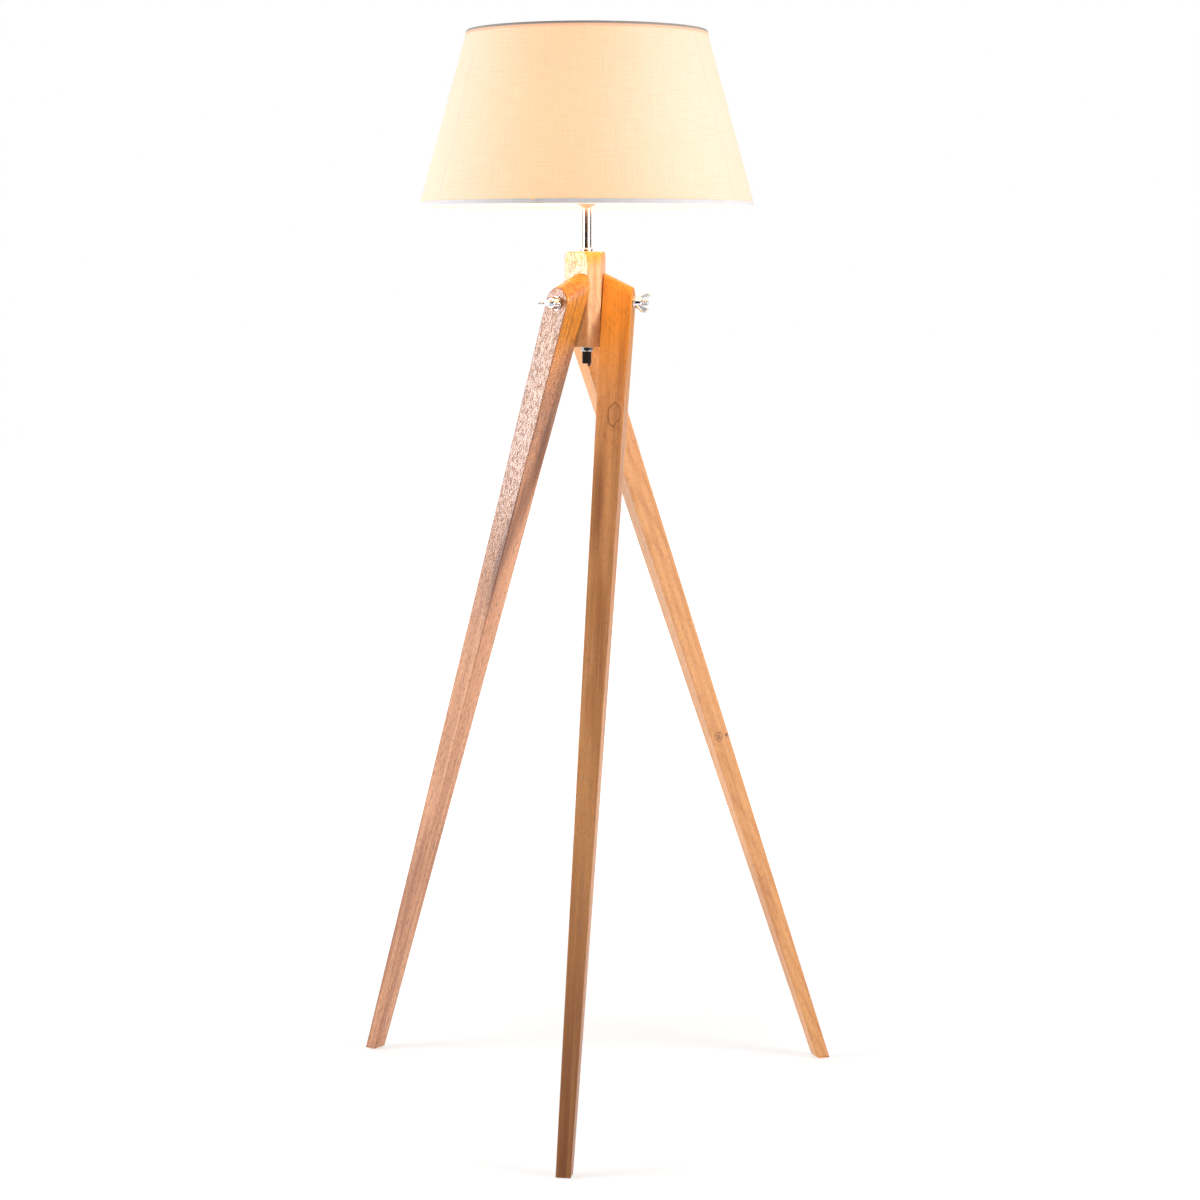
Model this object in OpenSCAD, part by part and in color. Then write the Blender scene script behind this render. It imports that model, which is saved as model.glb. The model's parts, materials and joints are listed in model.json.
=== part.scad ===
// Tripod floor lamp: three tapered wooden legs bolted with wing nuts to the sides of a
// wooden hub, a short chrome stem, a screw lampholder with its bulb, and a tapered shade.
// The origin is the point of the floor under the lamp's axis. +Z is up, millimetres.

/* [Stance] */
// Height of the three leg bolts above the floor
bolt_z = 1085; // [1000:5:1150]
// Lean of each leg from the vertical, in the plane of its hub face
leg_lean = 19; // [16:0.5:21]
// Direction in which the front leg's bolt points, seen from above
hub_turn = -9.4; // [-30:0.2:30]

/* [Hub] */
// Width of each of the three long faces that carry the legs
hub_face_w = 40; // [38:0.5:44]
// Distance from the axis to a long face
hub_face_r = 22.4; // [22:0.2:25]
// Height of the hub above the leg bolts
hub_above = 68; // [60:1:80]
// Depth of the hub below the leg bolts
hub_below = 59; // [45:1:70]
// Rounding of the hub's narrow faces into its top
hub_round = 7.5; // [3:0.5:9]

/* [Legs] */
// Width of a leg at its bolt
leg_w_top = 36; // [30:0.5:37]
// Width of a leg at the floor
leg_w_foot = 18.7; // [17:0.1:26]
// Thickness of a leg at its bolt, along the bolt
leg_t_top = 40; // [34:0.5:42]
// Thickness of a leg at the floor
leg_t_foot = 19.6; // [16:0.1:26]
// Slope of the leg's rounded head, which rises towards the hub
head_slope = 27; // [10:1:30]
// Rounding of the leg's inner corner at the floor
foot_round = 7.5; // [3:0.5:9]

/* [Fasteners] */
// Thread diameter of the leg bolts
bolt_d = 8; // [6:0.5:8]
// Length of the bolt beyond the leg's outer face
bolt_tail = 19.5; // [16:0.5:22]
// Diameter of the washers
washer_d = 18; // [16:0.5:20]
// Span of a wing nut over both wings
wing_span = 39; // [34:1:42]
// Height of a wing nut from its base to the tips of its wings
wing_h = 20; // [18:0.5:22]

/* [Stem] */
// Outside diameter of the chrome stem tube
stem_d = 12; // [12:0.2:14]
// Height of the lampholder's base above the hub
stem_rise = 58; // [50:1:80]

/* [Shade] */
// Outside diameter of the shade's lower edge
shade_bottom_d = 450; // [400:10:480]
// Outside diameter of the shade's upper edge
shade_top_d = 320; // [280:10:340]
// Height of the shade
shade_h = 232; // [220:2:250]

/* [Bulb] */
// Diameter of the bulb's globe
bulb_d = 60; // [56:1:62]
// Length of the bulb from its contact to the top of its globe
bulb_len = 105; // [100:1:112]

/* [Hidden] */
$fn = 96;

big = 3000;
slack = 0.05;
turn_between_legs = -120;

wood = [0.86, 0.66, 0.46];
chrome = [0.80, 0.81, 0.83];
steel = [0.66, 0.67, 0.69];
brass = [0.83, 0.68, 0.36];
black = [0.10, 0.10, 0.11];
cream = [0.94, 0.91, 0.84];
linen = [0.97, 0.90, 0.80];
tape = [0.83, 0.80, 0.77];
glass = [0.98, 0.94, 0.86, 0.5];

// Heights of the hub's ends, and of the lampholder's base on top of the stem
hub_top_z = bolt_z + hub_above;
hub_low_z = bolt_z - hub_below;
holder_z = hub_top_z + stem_rise;

// Discs between the hub and the legs, and the legs' own faces along their bolts
disc_t = 0.9;
gap = 0.1;
leg_face_x = hub_face_r + disc_t + gap;
leg_outer_x = leg_face_x + leg_t_top;
leg_len = bolt_z / cos(leg_lean);
head_flat = 12;

// Bolts, washers and wing nuts, by distance from the lamp's axis
bolt_r = bolt_d / 2;
bolt_root = 14.5;
washer_t = 1.6;
washer_x = leg_outer_x + gap;
nut_x = washer_x + washer_t + gap;
nut_base_r = 8.5;
nut_nose_r = 6.6;
nut_body_h = 10;
wing_t = 3.4;
wing_tip_r = 5.3;

// M10 tube that runs from the cord grip to the lampholder
tube_r = 5;
tube_bore_r = 3.5;
collar_r = 7.7;
collar_h = 4.8;
nut_across_flats = 14;
bottom_nut_h = 6;
grip_r = 6.2;
grip_h = 16.4;
grip_z = hub_low_z - bottom_nut_h - grip_h;
cord_r = 3.25;
wedge_drop = 3.2;
wedge_h = 8.8;

// Lampholder, by height above its own base
cap_r = 20;
cap_wall = 1.8;
cap_h = 27;
insert_rim_h = 2;
insert_z = cap_h + insert_rim_h;
insert_boss_h = 2.5;
cap_floor = 5;
skirt_r = 19.8;
skirt_bore_r = 15.2;
skirt_h = 33;
shell_r = 14.2;
shell_bore_r = 13.6;
shell_h = 25.5;
ring_r = 28;
ring_h = 7;
support_z = 30;
fitter_z = support_z + ring_h + gap;
fitter_t = 2;
fitter_bore_r = 20.6;
fitter_r = 31;
contact_z = 35.2;

// Shade, by height above the floor and outside radius of its cover
shade_z = holder_z + 0.5;
shade_top_z = shade_z + shade_h;
cover_t = 1.2;
tape_t = 0.5;
tape_h = 6.8;
wire_r = 2;
wire_gap = 0.4;
strut_r = 1.5;
strut_turns = [210, 330, 90];
arm_r = 1.75;
arm_up = 12;
wire_inset = 3;

// Bulb, by height above the lampholder's base
cap_thread_r = 13.1;
globe_r = bulb_d / 2;
globe_z = contact_z + bulb_len - globe_r;
bulb_cap_z = contact_z + 4.5;
bulb_cap_h = 23;
neck_r = 13.8;
neck_z = bulb_cap_z + bulb_cap_h - 3;
glass_t = 0.7;

// Outside radius of the shade's cover at a height above the shade's lower edge
function cover_r(h) = shade_bottom_d / 2 - tape_t
    - h * (shade_bottom_d - shade_top_d) / 2 / shade_h;

// Where a line that leaves point p upwards touches the right-hand side of a circle
function touch(p, c, r) =
    let (d = c - p, a = atan2(d[1], d[0]) - asin(r / norm(d)), l = sqrt(d * d - r * r))
    p + l * [cos(a), sin(a)];

// Puts a shape that is drawn along +X onto the hub's long face number i
module on_face(i) {
    rotate([0, 0, hub_turn + i * turn_between_legs]) children();
}

// Puts a shape that is drawn round +Z round the bolt's axis on +X
module along_bolt(x) {
    translate([x, 0, bolt_z]) rotate([0, 90, 0]) children();
}

module tube(r, bore_r, h) {
    rotate_extrude() translate([bore_r, 0]) square([r - bore_r, h]);
}

module hex_nut(across_flats, bore_r, h) {
    difference() {
        cylinder(r = across_flats / 2 / cos(30), h = h, $fn = 6);
        translate([0, 0, -1]) cylinder(r = bore_r, h = h + 2);
    }
}

// ---- Hub and legs ----

// A block with three long and three narrow faces, its narrow faces rounded into the top
module hub() {
    half = hub_face_w / 2;
    narrow_r = hub_face_r / 2 + half * sin(60);
    outline = [for (i = [0:2], side = [1, -1])
        let (a = hub_turn + i * turn_between_legs)
        [hub_face_r * cos(a) - side * half * sin(a),
         hub_face_r * sin(a) + side * half * cos(a)]];
    height = hub_top_z - hub_low_z;
    color(wood) difference() {
        intersection() {
            translate([0, 0, hub_low_z]) linear_extrude(height) polygon(outline);
            for_narrow_face(0) rounded_slab(narrow_r);
            for_narrow_face(1) rounded_slab(narrow_r);
            for_narrow_face(2) rounded_slab(narrow_r);
        }
        translate([0, 0, hub_low_z - 1]) cylinder(r = tube_r + 0.2, h = height + 2);
        for (i = [0:2])
            on_face(i) along_bolt(hub_face_r - bolt_root - 0.5)
                cylinder(r = bolt_r, h = bolt_root + 2);
    }
}

module for_narrow_face(i) {
    rotate([0, 0, hub_turn + 60 + i * turn_between_legs]) children();
}

// Everything inside a narrow face and under the top, with a rounded edge between them
module rounded_slab(face_r) {
    reach = 60;
    rotate([90, 0, 0]) linear_extrude(2 * reach, center = true) {
        translate([-reach, hub_low_z]) square([reach + face_r, hub_top_z - hub_low_z - hub_round]);
        translate([-reach, hub_low_z]) square([reach + face_r - hub_round, hub_top_z - hub_low_z]);
        translate([face_r - hub_round, hub_top_z - hub_round]) circle(hub_round);
    }
}

// The point where two lines meet, each given by its normal and its distance from the origin
function meet(n, d, m, e) =
    [d * m[1] - n[1] * e, n[0] * e - d * m[0]] / (n[0] * m[1] - n[1] * m[0]);

// A leg's outline seen along its bolt, which is the outline's origin. The leg hangs down,
// the floor cuts it at the lean's angle, and the corner away from the lean is rounded.
module leg_outline() {
    half = leg_w_top / 2;
    slant = [1, -(leg_w_top - leg_w_foot) / 2 / leg_len];
    side_n = slant / norm(slant);
    floor_n = [sin(leg_lean), -cos(leg_lean)];
    side_d = side_n[0] * half;
    toe = meet([-side_n[0], side_n[1]], side_d, floor_n, bolt_z);
    heel = meet(side_n, side_d, floor_n, bolt_z);
    centre = meet(side_n, side_d - foot_round, floor_n, bolt_z - foot_round);
    corner_n = side_n + floor_n;
    intersection() {
        polygon([[-half, 3 * half], [-half, 0], toe, heel, [half, 0], [half, 3 * half]]);
        translate(centre) rotate(atan2(corner_n[1], corner_n[0])) {
            circle(foot_round + 0.2);
            translate([-big, -big / 2]) square([big + foot_round * norm(corner_n) / 2, big]);
        }
    }
}

// A leg hanging straight down from its bolt, with its inner face on x = 0. Its head is
// rounded by a cylinder that slants up towards the hub.
module hanging_leg() {
    head_r = leg_w_top / 2 + 0.3;
    low_z = -leg_len - 20;
    low_t = leg_t_foot - 20 * (leg_t_top - leg_t_foot) / (leg_len - head_flat);
    difference() {
        intersection() {
            rotate([90, 0, 90]) linear_extrude(leg_t_top) leg_outline();
            rotate([90, 0, 0]) linear_extrude(2 * leg_w_top, center = true)
                polygon([[0, 2 * leg_w_top], [leg_t_top, 2 * leg_w_top], [leg_t_top, -head_flat],
                    [low_t, low_z], [0, low_z]]);
            translate([leg_t_top, 0, 0]) rotate([0, head_slope - 90, 0])
                linear_extrude(big, center = true) {
                    circle(head_r);
                    translate([-big, -leg_w_top]) square([big + 2, 2 * leg_w_top]);
                }
        }
        translate([-1, 0, 0]) rotate([0, 90, 0])
            cylinder(r = bolt_r + slack, h = leg_t_top + 2);
    }
}

module leg(i) {
    color(wood) on_face(i) translate([leg_face_x, 0, bolt_z])
        rotate([-leg_lean, 0, 0]) hanging_leg();
}

// ---- Bolts, washers and wing nuts ----

// Wood thread in the hub, then machine thread through the leg, with a chamfered end
module hanger_bolt(i) {
    whole = hub_face_r + disc_t + 2 * gap + leg_t_top + bolt_tail - (hub_face_r - bolt_root);
    color(steel) on_face(i) along_bolt(hub_face_r - bolt_root)
        rotate_extrude() polygon([[0, 0], [bolt_r - 1.6, 0], [bolt_r - 0.1, 2.5],
            [bolt_r - 0.1, bolt_root], [bolt_r, bolt_root], [bolt_r, whole - 1],
            [bolt_r - 1, whole], [0, whole]]);
}

// Thin discs that the legs turn against
module spacer_discs() {
    color(black) for (i = [0:2])
        on_face(i) along_bolt(hub_face_r) tube(washer_d / 2, bolt_r + slack, disc_t);
}

module washer(i) {
    color(chrome) on_face(i) along_bolt(washer_x) tube(washer_d / 2, bolt_r + slack, washer_t);
}

// One wing, seen across the nut's axis, which is the vertical axis of the outline
module wing_outline() {
    tip = [wing_span / 2 - wing_tip_r, wing_h - wing_tip_r];
    polygon([[bolt_r + 1, 1.2], [nut_base_r - 0.4, 1.8], tip + [4.2, -3.2],
        tip + [-4, 3.4], [nut_nose_r - 0.6, nut_body_h - 0.6], [bolt_r + 1, nut_body_h - 0.6]]);
    translate(tip) circle(wing_tip_r);
}

// The wings lie level when wing_turn is 0
module wing_nut(i, wing_turn) {
    color(chrome) on_face(i) along_bolt(nut_x) rotate([0, 0, wing_turn]) {
        rotate_extrude() polygon([[bolt_r + slack, 0], [nut_base_r - 0.6, 0],
            [nut_base_r, 0.6], [nut_base_r, 2], [nut_nose_r, nut_body_h - 0.8],
            [nut_nose_r - 0.8, nut_body_h], [bolt_r + slack, nut_body_h]]);
        for (side = [0, 180])
            rotate([90, 0, side + 90]) linear_extrude(wing_t, center = true) wing_outline();
    }
}

// ---- Stem and cord outlet ----

module threaded_tube() {
    z0 = grip_z + 7;
    color(steel) translate([0, 0, z0]) tube(tube_r, tube_bore_r, holder_z + 12.5 - z0);
}

module stem_collar() {
    color(chrome) translate([0, 0, hub_top_z]) rotate_extrude()
        polygon([[tube_r + slack, 0], [collar_r, 0], [collar_r, collar_h - 1.4],
            [collar_r - 0.5, collar_h - 0.6], [collar_r - 1.2, collar_h],
            [tube_r + slack, collar_h]]);
}

module stem_tube() {
    color(chrome) translate([0, 0, hub_top_z + collar_h])
        tube(stem_d / 2, tube_r + slack, holder_z - hub_top_z - collar_h);
}

module bottom_nut() {
    color(chrome) translate([0, 0, hub_low_z - bottom_nut_h])
        hex_nut(nut_across_flats, tube_r + slack, bottom_nut_h);
}

// The slot in the grip that holds the wedge, and the wedge itself when shrink is above 0
module wedge_outline(shrink) {
    intersection() {
        difference() {
            circle(grip_r - 1 - shrink);
            circle(cord_r);
        }
        translate([0.8 + shrink, -grip_r]) square(2 * grip_r);
    }
}

// Black grip on the tube's lower end: a ribbed barrel with a slot for its wedge
module cord_grip() {
    ribs = 12;
    color(black) translate([0, 0, grip_z]) difference() {
        linear_extrude(grip_h) difference() {
            circle(grip_r);
            for (a = [0:360 / ribs:359])
                rotate(a) translate([grip_r + 0.15, 0]) circle(0.5, $fn = 16);
        }
        translate([0, 0, 7]) cylinder(r = tube_r + slack, h = grip_h);
        translate([0, 0, -1]) cylinder(r = cord_r, h = 9);
        translate([0, 0, -1]) linear_extrude(7) wedge_outline(0);
    }
}

module grip_wedge() {
    color(black) translate([0, 0, grip_z - wedge_drop]) linear_extrude(wedge_h)
        wedge_outline(0.1);
}

// ---- Lampholder ----

// Half section of the lampholder's bowl at an inset from its outside
module bowl_section(inset) {
    corner_r = 9 - inset;
    corner = [cap_r - 9, 13.2];
    foot = [tube_r + 1.5 - inset, 1.2 + 1.1 * inset];
    edge = touch(foot, corner, corner_r);
    polygon([[0, foot[1]], foot, edge, corner + [corner_r, 0],
        [cap_r - inset, cap_h + 1], [0, cap_h + 1]]);
    intersection() {
        translate(corner) circle(corner_r);
        square([cap_r, corner[1]]);
    }
}

module holder_cap() {
    color(cream) translate([0, 0, holder_z]) rotate_extrude() difference() {
        union() {
            bowl_section(0);
            square([tube_r + 1.5, 2]);
        }
        intersection() {
            bowl_section(cap_wall);
            translate([0, cap_floor]) square([cap_r, cap_h]);
        }
        square([tube_r + slack, 10]);
        translate([0, cap_h]) square([cap_r + 1, 5]);
    }
}

module holder_locknut() {
    color(brass) translate([0, 0, holder_z + cap_floor])
        hex_nut(nut_across_flats, tube_r + slack, 3.5);
}

// Insulating disc that is clamped between the bowl and the skirt and carries the contacts
module holder_insert() {
    color(cream) translate([0, 0, holder_z]) difference() {
        union() {
            translate([0, 0, cap_h]) cylinder(r = skirt_r, h = insert_rim_h);
            translate([0, 0, cap_h - 2]) cylinder(r = cap_r - cap_wall - 0.2, h = 2.5);
            translate([0, 0, insert_z]) cylinder(r = skirt_bore_r - 0.2, h = insert_boss_h);
        }
        for (side = [-1, 1])
            translate([side * 9, 0, cap_h - 5]) cylinder(r = 1.6, h = 20);
    }
}

// Two brass blocks under the insert, where the cord's wires end
module holder_terminals() {
    color(brass) for (side = [-1, 1])
        translate([side * 9, 0, holder_z + cap_h - 10]) difference() {
            translate([-3, -3.5, 0]) cube([6, 7, 8]);
            translate([0, 0, -1]) cylinder(r = 1.3, h = 10);
            translate([0, -5, 3]) rotate([-90, 0, 0]) cylinder(r = 1.25, h = 4.9);
        }
}

module terminal_screws() {
    color(steel) for (side = [-1, 1])
        translate([side * 9, -5.2, holder_z + cap_h - 7]) rotate([-90, 0, 0]) difference() {
            union() {
                cylinder(r = 2.1, h = 1.7);
                translate([0, 0, 1.7]) cylinder(r = 1.2, h = 3.2);
            }
            translate([-0.3, -3, -1]) cube([0.6, 6, 1.7]);
        }
}

// Spring tongue under the bulb's centre contact
module centre_contact() {
    base = insert_z + insert_boss_h;
    color(brass) translate([0, 0, holder_z]) rotate([90, 0, 0])
        linear_extrude(5, center = true) polygon([[-11, base], [3, base],
            [5.5, contact_z - 1.2], [0, contact_z - 0.1], [-4, contact_z - 0.9],
            [-4, contact_z - 1.5], [0, contact_z - 0.8], [4.3, contact_z - 1.7],
            [2.5, base + 0.6], [-11, base + 0.6]]);
}

// Brass sleeve that the bulb's cap screws into
module screw_shell() {
    color(brass) translate([0, 0, holder_z + insert_z + insert_boss_h])
        tube(shell_r, shell_bore_r, shell_h);
}

module holder_skirt() {
    color(cream) translate([0, 0, holder_z + insert_z])
        tube(skirt_r, skirt_bore_r, skirt_h);
}

// Threaded ring: a flange with notches for the fingers on a plain collar
module clamp_ring(notches) {
    difference() {
        union() {
            cylinder(r = ring_r, h = 2.6);
            cylinder(r = skirt_r + 3.2, h = ring_h);
        }
        translate([0, 0, -1]) cylinder(r = skirt_r + slack, h = ring_h + 2);
        for (a = [0:360 / notches:359])
            rotate([0, 0, a]) translate([ring_r + 1, 0, -1]) cylinder(r = 2.2, h = 4.6, $fn = 24);
    }
}

module support_ring() {
    color(cream) translate([0, 0, holder_z + support_z + ring_h]) mirror([0, 0, 1])
        clamp_ring(18);
}

module shade_ring() {
    color(cream) translate([0, 0, holder_z + fitter_z + fitter_t + gap]) clamp_ring(18);
}

// ---- Shade ----

module fitter_ring() {
    color(chrome) translate([0, 0, holder_z + fitter_z]) tube(fitter_r, fitter_bore_r, fitter_t);
}

// A round wire from one point to another
module wire(from, to, r) {
    d = to - from;
    translate(from) rotate([0, acos(d[2] / norm(d)), atan2(d[1], d[0])])
        cylinder(r = r, h = norm(d), $fn = 24);
}

// Wires that run from the fitter ring out to the struts, just above the lower wire
module spider_arms() {
    end_r = wire_path_r(arm_up) - strut_r;
    color(chrome) for (a = strut_turns)
        rotate([0, 0, a]) wire([fitter_r - 0.8, 0, holder_z + fitter_z + fitter_t / 2],
            [end_r, 0, shade_z + arm_up], arm_r);
}

// Radius at which the frame's wires run inside the cover
function wire_path_r(h) = cover_r(h) - cover_t - wire_gap - wire_r;

module shade_struts() {
    color(chrome) for (a = strut_turns)
        rotate([0, 0, a]) wire([wire_path_r(wire_inset), 0, shade_z + wire_inset],
            [wire_path_r(shade_h - wire_inset), 0, shade_top_z - wire_inset], strut_r);
}

module hoop(h) {
    translate([0, 0, shade_z + h]) rotate_extrude()
        translate([wire_path_r(h), 0]) circle(wire_r, $fn = 32);
}

module shade_top_wire() {
    color(chrome) hoop(shade_h - wire_inset);
}

module shade_bottom_wire() {
    color(chrome) hoop(wire_inset);
}

module shade_cover() {
    low = tape_t + 0.05;
    high = shade_h - tape_t - 0.05;
    color(linen) translate([0, 0, shade_z]) rotate_extrude()
        polygon([[cover_r(low) - cover_t, low], [cover_r(low), low],
            [cover_r(high), high], [cover_r(high) - cover_t, high]]);
}

// Tape folded round an edge of the cover and the wire inside it
module binding(edge, fold) {
    reach = cover_t + wire_gap + 2 * wire_r + 0.3;
    mouth = edge + fold * tape_h;
    lip = edge + fold * tape_t;
    color(tape) translate([0, 0, shade_z]) rotate_extrude()
        polygon([[cover_r(edge) + tape_t, edge], [cover_r(mouth) + tape_t, mouth],
            [cover_r(mouth) + 0.02, mouth], [cover_r(lip) + 0.02, lip],
            [cover_r(lip) - reach, lip], [cover_r(mouth) - reach, mouth],
            [cover_r(mouth) - reach - tape_t, mouth], [cover_r(edge) - reach - tape_t, edge]]);
}

module shade_top_binding() {
    binding(shade_h, -1);
}

module shade_bottom_binding() {
    binding(0, 1);
}

// ---- Bulb ----

// Half section of the bulb's envelope at an inset from its outside
module bulb_section(inset) {
    shoulder = touch([neck_r - inset, neck_z + 6], [0, globe_z], globe_r - inset);
    polygon([[0, neck_z], [neck_r - inset, neck_z], [neck_r - inset, neck_z + 6], shoulder,
        [0, globe_z]]);
    intersection() {
        translate([0, globe_z]) circle(globe_r - inset);
        translate([0, neck_z]) square(big);
    }
}

module bulb_glass() {
    color(glass) translate([0, 0, holder_z]) rotate_extrude() difference() {
        bulb_section(0);
        bulb_section(glass_t);
    }
}

// Screw cap, a thin metal cup that holds the glass and the insulator
module bulb_cap() {
    color(steel) translate([0, 0, holder_z + bulb_cap_z]) rotate_extrude()
        polygon([[9, 0], [cap_thread_r - 1, 0], [cap_thread_r, 1.5],
            [cap_thread_r, bulb_cap_h - 5], [neck_r + 0.6, bulb_cap_h - 3.5],
            [neck_r + 0.6, bulb_cap_h], [neck_r + 0.05, bulb_cap_h],
            [neck_r + 0.05, bulb_cap_h - 3.1], [cap_thread_r - 0.5, bulb_cap_h - 4.4],
            [cap_thread_r - 0.5, 1.7], [cap_thread_r - 1.2, 0.5], [9, 0.5]]);
}

module bulb_insulator() {
    color(black) translate([0, 0, holder_z + contact_z + 1]) rotate_extrude()
        polygon([[4.9, 0], [8.9, 3.4], [8.9, 5], [2, 5], [2, 1.3], [4.9, 1.3]]);
}

module bulb_contact() {
    color(steel) translate([0, 0, holder_z + contact_z]) rotate_extrude()
        polygon([[0, 0], [3.6, 0], [4.8, 1], [4.8, 2.2], [0, 2.2]]);
}

// Glass mount inside the envelope: a flare, a stem and the button on top of it
module bulb_stem() {
    color(glass) translate([0, 0, holder_z + neck_z]) rotate_extrude()
        polygon([[0, 0.5], [13, 0.5], [13, 1.2], [4, 10], [2.5, 14], [2.5, 32],
            [4, 34], [4, 37], [2.5, 39], [0, 39]]);
}

// Coiled filament, bent into an open ring on its supports
module bulb_filament() {
    z = holder_z + neck_z + 48;
    r = 11;
    color(steel) {
        translate([0, 0, z]) rotate([0, 0, 20]) rotate_extrude(angle = 320)
            translate([r, 0]) circle(0.6, $fn = 16);
        for (a = [20, 120, 240, 340])
            rotate([0, 0, a]) wire([2, 0, z - 12], [r, 0, z], 0.4);
    }
}

hub();
leg(1);  // leg_left
leg(0);  // leg_front
leg(2);  // leg_back
hanger_bolt(1);  // hanger_bolt_left
hanger_bolt(0);  // hanger_bolt_front
hanger_bolt(2);  // hanger_bolt_back
spacer_discs();
washer(1);  // washer_left
washer(0);  // washer_front
washer(2);  // washer_back
wing_nut(1, 0);  // wing_nut_left
wing_nut(0, 40);  // wing_nut_front
wing_nut(2, 70);  // wing_nut_back
threaded_tube();
stem_collar();
stem_tube();
bottom_nut();
cord_grip();
grip_wedge();
holder_cap();
holder_locknut();
holder_insert();
holder_terminals();
terminal_screws();
centre_contact();
screw_shell();
holder_skirt();
support_ring();
shade_ring();
fitter_ring();
spider_arms();
shade_struts();
shade_top_wire();
shade_bottom_wire();
shade_cover();
shade_top_binding();
shade_bottom_binding();
bulb_cap();
bulb_insulator();
bulb_contact();
bulb_glass();
bulb_stem();
bulb_filament();
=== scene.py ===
"""Looks of the tripod floor lamp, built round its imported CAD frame. Lengths are in metres."""
import json
import math

import bmesh
import bpy
from mathutils import Matrix, Vector


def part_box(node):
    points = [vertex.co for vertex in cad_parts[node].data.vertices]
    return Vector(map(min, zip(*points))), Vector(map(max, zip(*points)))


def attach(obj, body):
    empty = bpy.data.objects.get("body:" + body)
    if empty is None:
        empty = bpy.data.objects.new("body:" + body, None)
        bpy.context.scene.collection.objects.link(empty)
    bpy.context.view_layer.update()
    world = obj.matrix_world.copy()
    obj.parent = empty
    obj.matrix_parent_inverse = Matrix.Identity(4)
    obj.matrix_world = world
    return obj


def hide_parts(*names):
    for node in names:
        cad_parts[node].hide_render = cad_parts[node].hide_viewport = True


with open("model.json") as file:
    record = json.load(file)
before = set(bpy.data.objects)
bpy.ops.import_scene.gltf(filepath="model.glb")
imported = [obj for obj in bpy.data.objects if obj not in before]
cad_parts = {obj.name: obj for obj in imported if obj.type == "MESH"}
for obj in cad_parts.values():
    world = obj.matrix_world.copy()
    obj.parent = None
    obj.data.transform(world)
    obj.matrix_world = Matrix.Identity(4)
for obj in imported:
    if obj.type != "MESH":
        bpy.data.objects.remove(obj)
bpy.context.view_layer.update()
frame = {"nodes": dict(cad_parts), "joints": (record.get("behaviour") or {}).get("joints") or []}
MM = 0.001
TAU = 2 * math.pi
UP = Vector((0, 0, 1))
SIDES = ("left", "front", "back")
JOINTS = {joint["name"]: joint for joint in frame["joints"]}


# ---- Measures taken from the frame ----

def span(node, direction):
    """How far a CAD node reaches along a direction from the origin: (least, greatest)."""
    reach = [vertex.co.dot(direction) for vertex in frame["nodes"][node].data.vertices]
    return min(reach), max(reach)


def low(node):
    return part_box(node)[0].z


def high(node):
    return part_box(node)[1].z


def outer_radius(node):
    """Radius of a round node that stands on the lamp's axis."""
    return max(vertex.co.xy.length for vertex in frame["nodes"][node].data.vertices)


def inner_radius(node):
    return min(vertex.co.xy.length for vertex in frame["nodes"][node].data.vertices)


def extents(node):
    """A round node's inner and outer radius, and its lower and upper end."""
    return inner_radius(node), outer_radius(node), low(node), high(node)


bolt_axis = {side: Vector(JOINTS[f"leg_{side}_hinge"]["axis"]) for side in SIDES}
bolt_turn = {side: math.atan2(axis.y, axis.x) for side, axis in bolt_axis.items()}
bolt_z = JOINTS["leg_left_hinge"]["pos_m"][2]
leg_lean = math.radians(19)
bolt_r = 4 * MM
wing_turn = {"left": 0, "front": math.radians(40), "back": math.radians(70)}
strut_turns = [math.radians(turn) for turn in (210, 330, 90)]


# ---- Meshes ----

def bezier(points, steps):
    """Points along a Bezier curve, both of its ends among them."""
    curve = []
    for step in range(steps + 1):
        left = [Vector(point) for point in points]
        while len(left) > 1:
            left = [here.lerp(after, step / steps) for here, after in zip(left, left[1:])]
        curve += left
    return curve


def corner(before, here, after, cut, steps, support=0.0):
    """Points of a curve that takes the corner off, and one more on each side if there is a support."""
    before, here, after = Vector(before), Vector(here), Vector(after)
    back, on = (before - here).normalized(), (after - here).normalized()
    start, end = here + back * cut, here + on * cut
    curve = bezier([start, here, end], steps)
    if support:
        curve = [start + back * support] + curve + [end + on * support]
    return [tuple(point) for point in curve]


def rounded(points, radius, steps=3, closed=True, support=0.0):
    """An outline with its corners rounded, apart from those on the axis."""
    made = []
    for i, here in enumerate(points):
        before, after = points[i - 1], points[(i + 1) % len(points)]
        at_end = not closed and i in (0, len(points) - 1)
        if here[0] < 1e-9 and not support or at_end:
            made.append(here)
            continue
        room = min((Vector(before) - Vector(here)).length, (Vector(after) - Vector(here)).length)
        made += corner(before, here, after, min(radius, 0.45 * room), steps, support)
    return made


def inset(points, depth):
    """An anticlockwise closed outline, moved inwards by a depth."""
    moved = []
    for i, point in enumerate(points):
        here, after = Vector(point), Vector(points[(i + 1) % len(points)])
        come, go = (here - Vector(points[i - 1])).normalized(), (after - here).normalized()
        inward = Vector((-come.y - go.y, come.x + go.x)).normalized()
        moved.append(here + inward * depth / max(0.5, inward.dot(Vector((-come.y, come.x)))))
    return moved


def arris(radius, steps, support):
    """A rounded edge as (depth under the face, inset from the side), from the side to the face."""
    turns = [math.pi / 2 * step / steps for step in range(steps + 1)]
    curve = [(radius * (1 - math.sin(turn)), radius * (1 - math.cos(turn))) for turn in turns]
    return [(radius + support, 0.0)] + curve + [(0.0, radius + support)]


def polar(radius, angle, z):
    return Vector((radius * math.cos(angle), radius * math.sin(angle), z))


def upright(radius, start, end, step):
    """Points up a straight wall of a profile."""
    return [(radius, z) for z in levels(start, end, step)]


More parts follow.
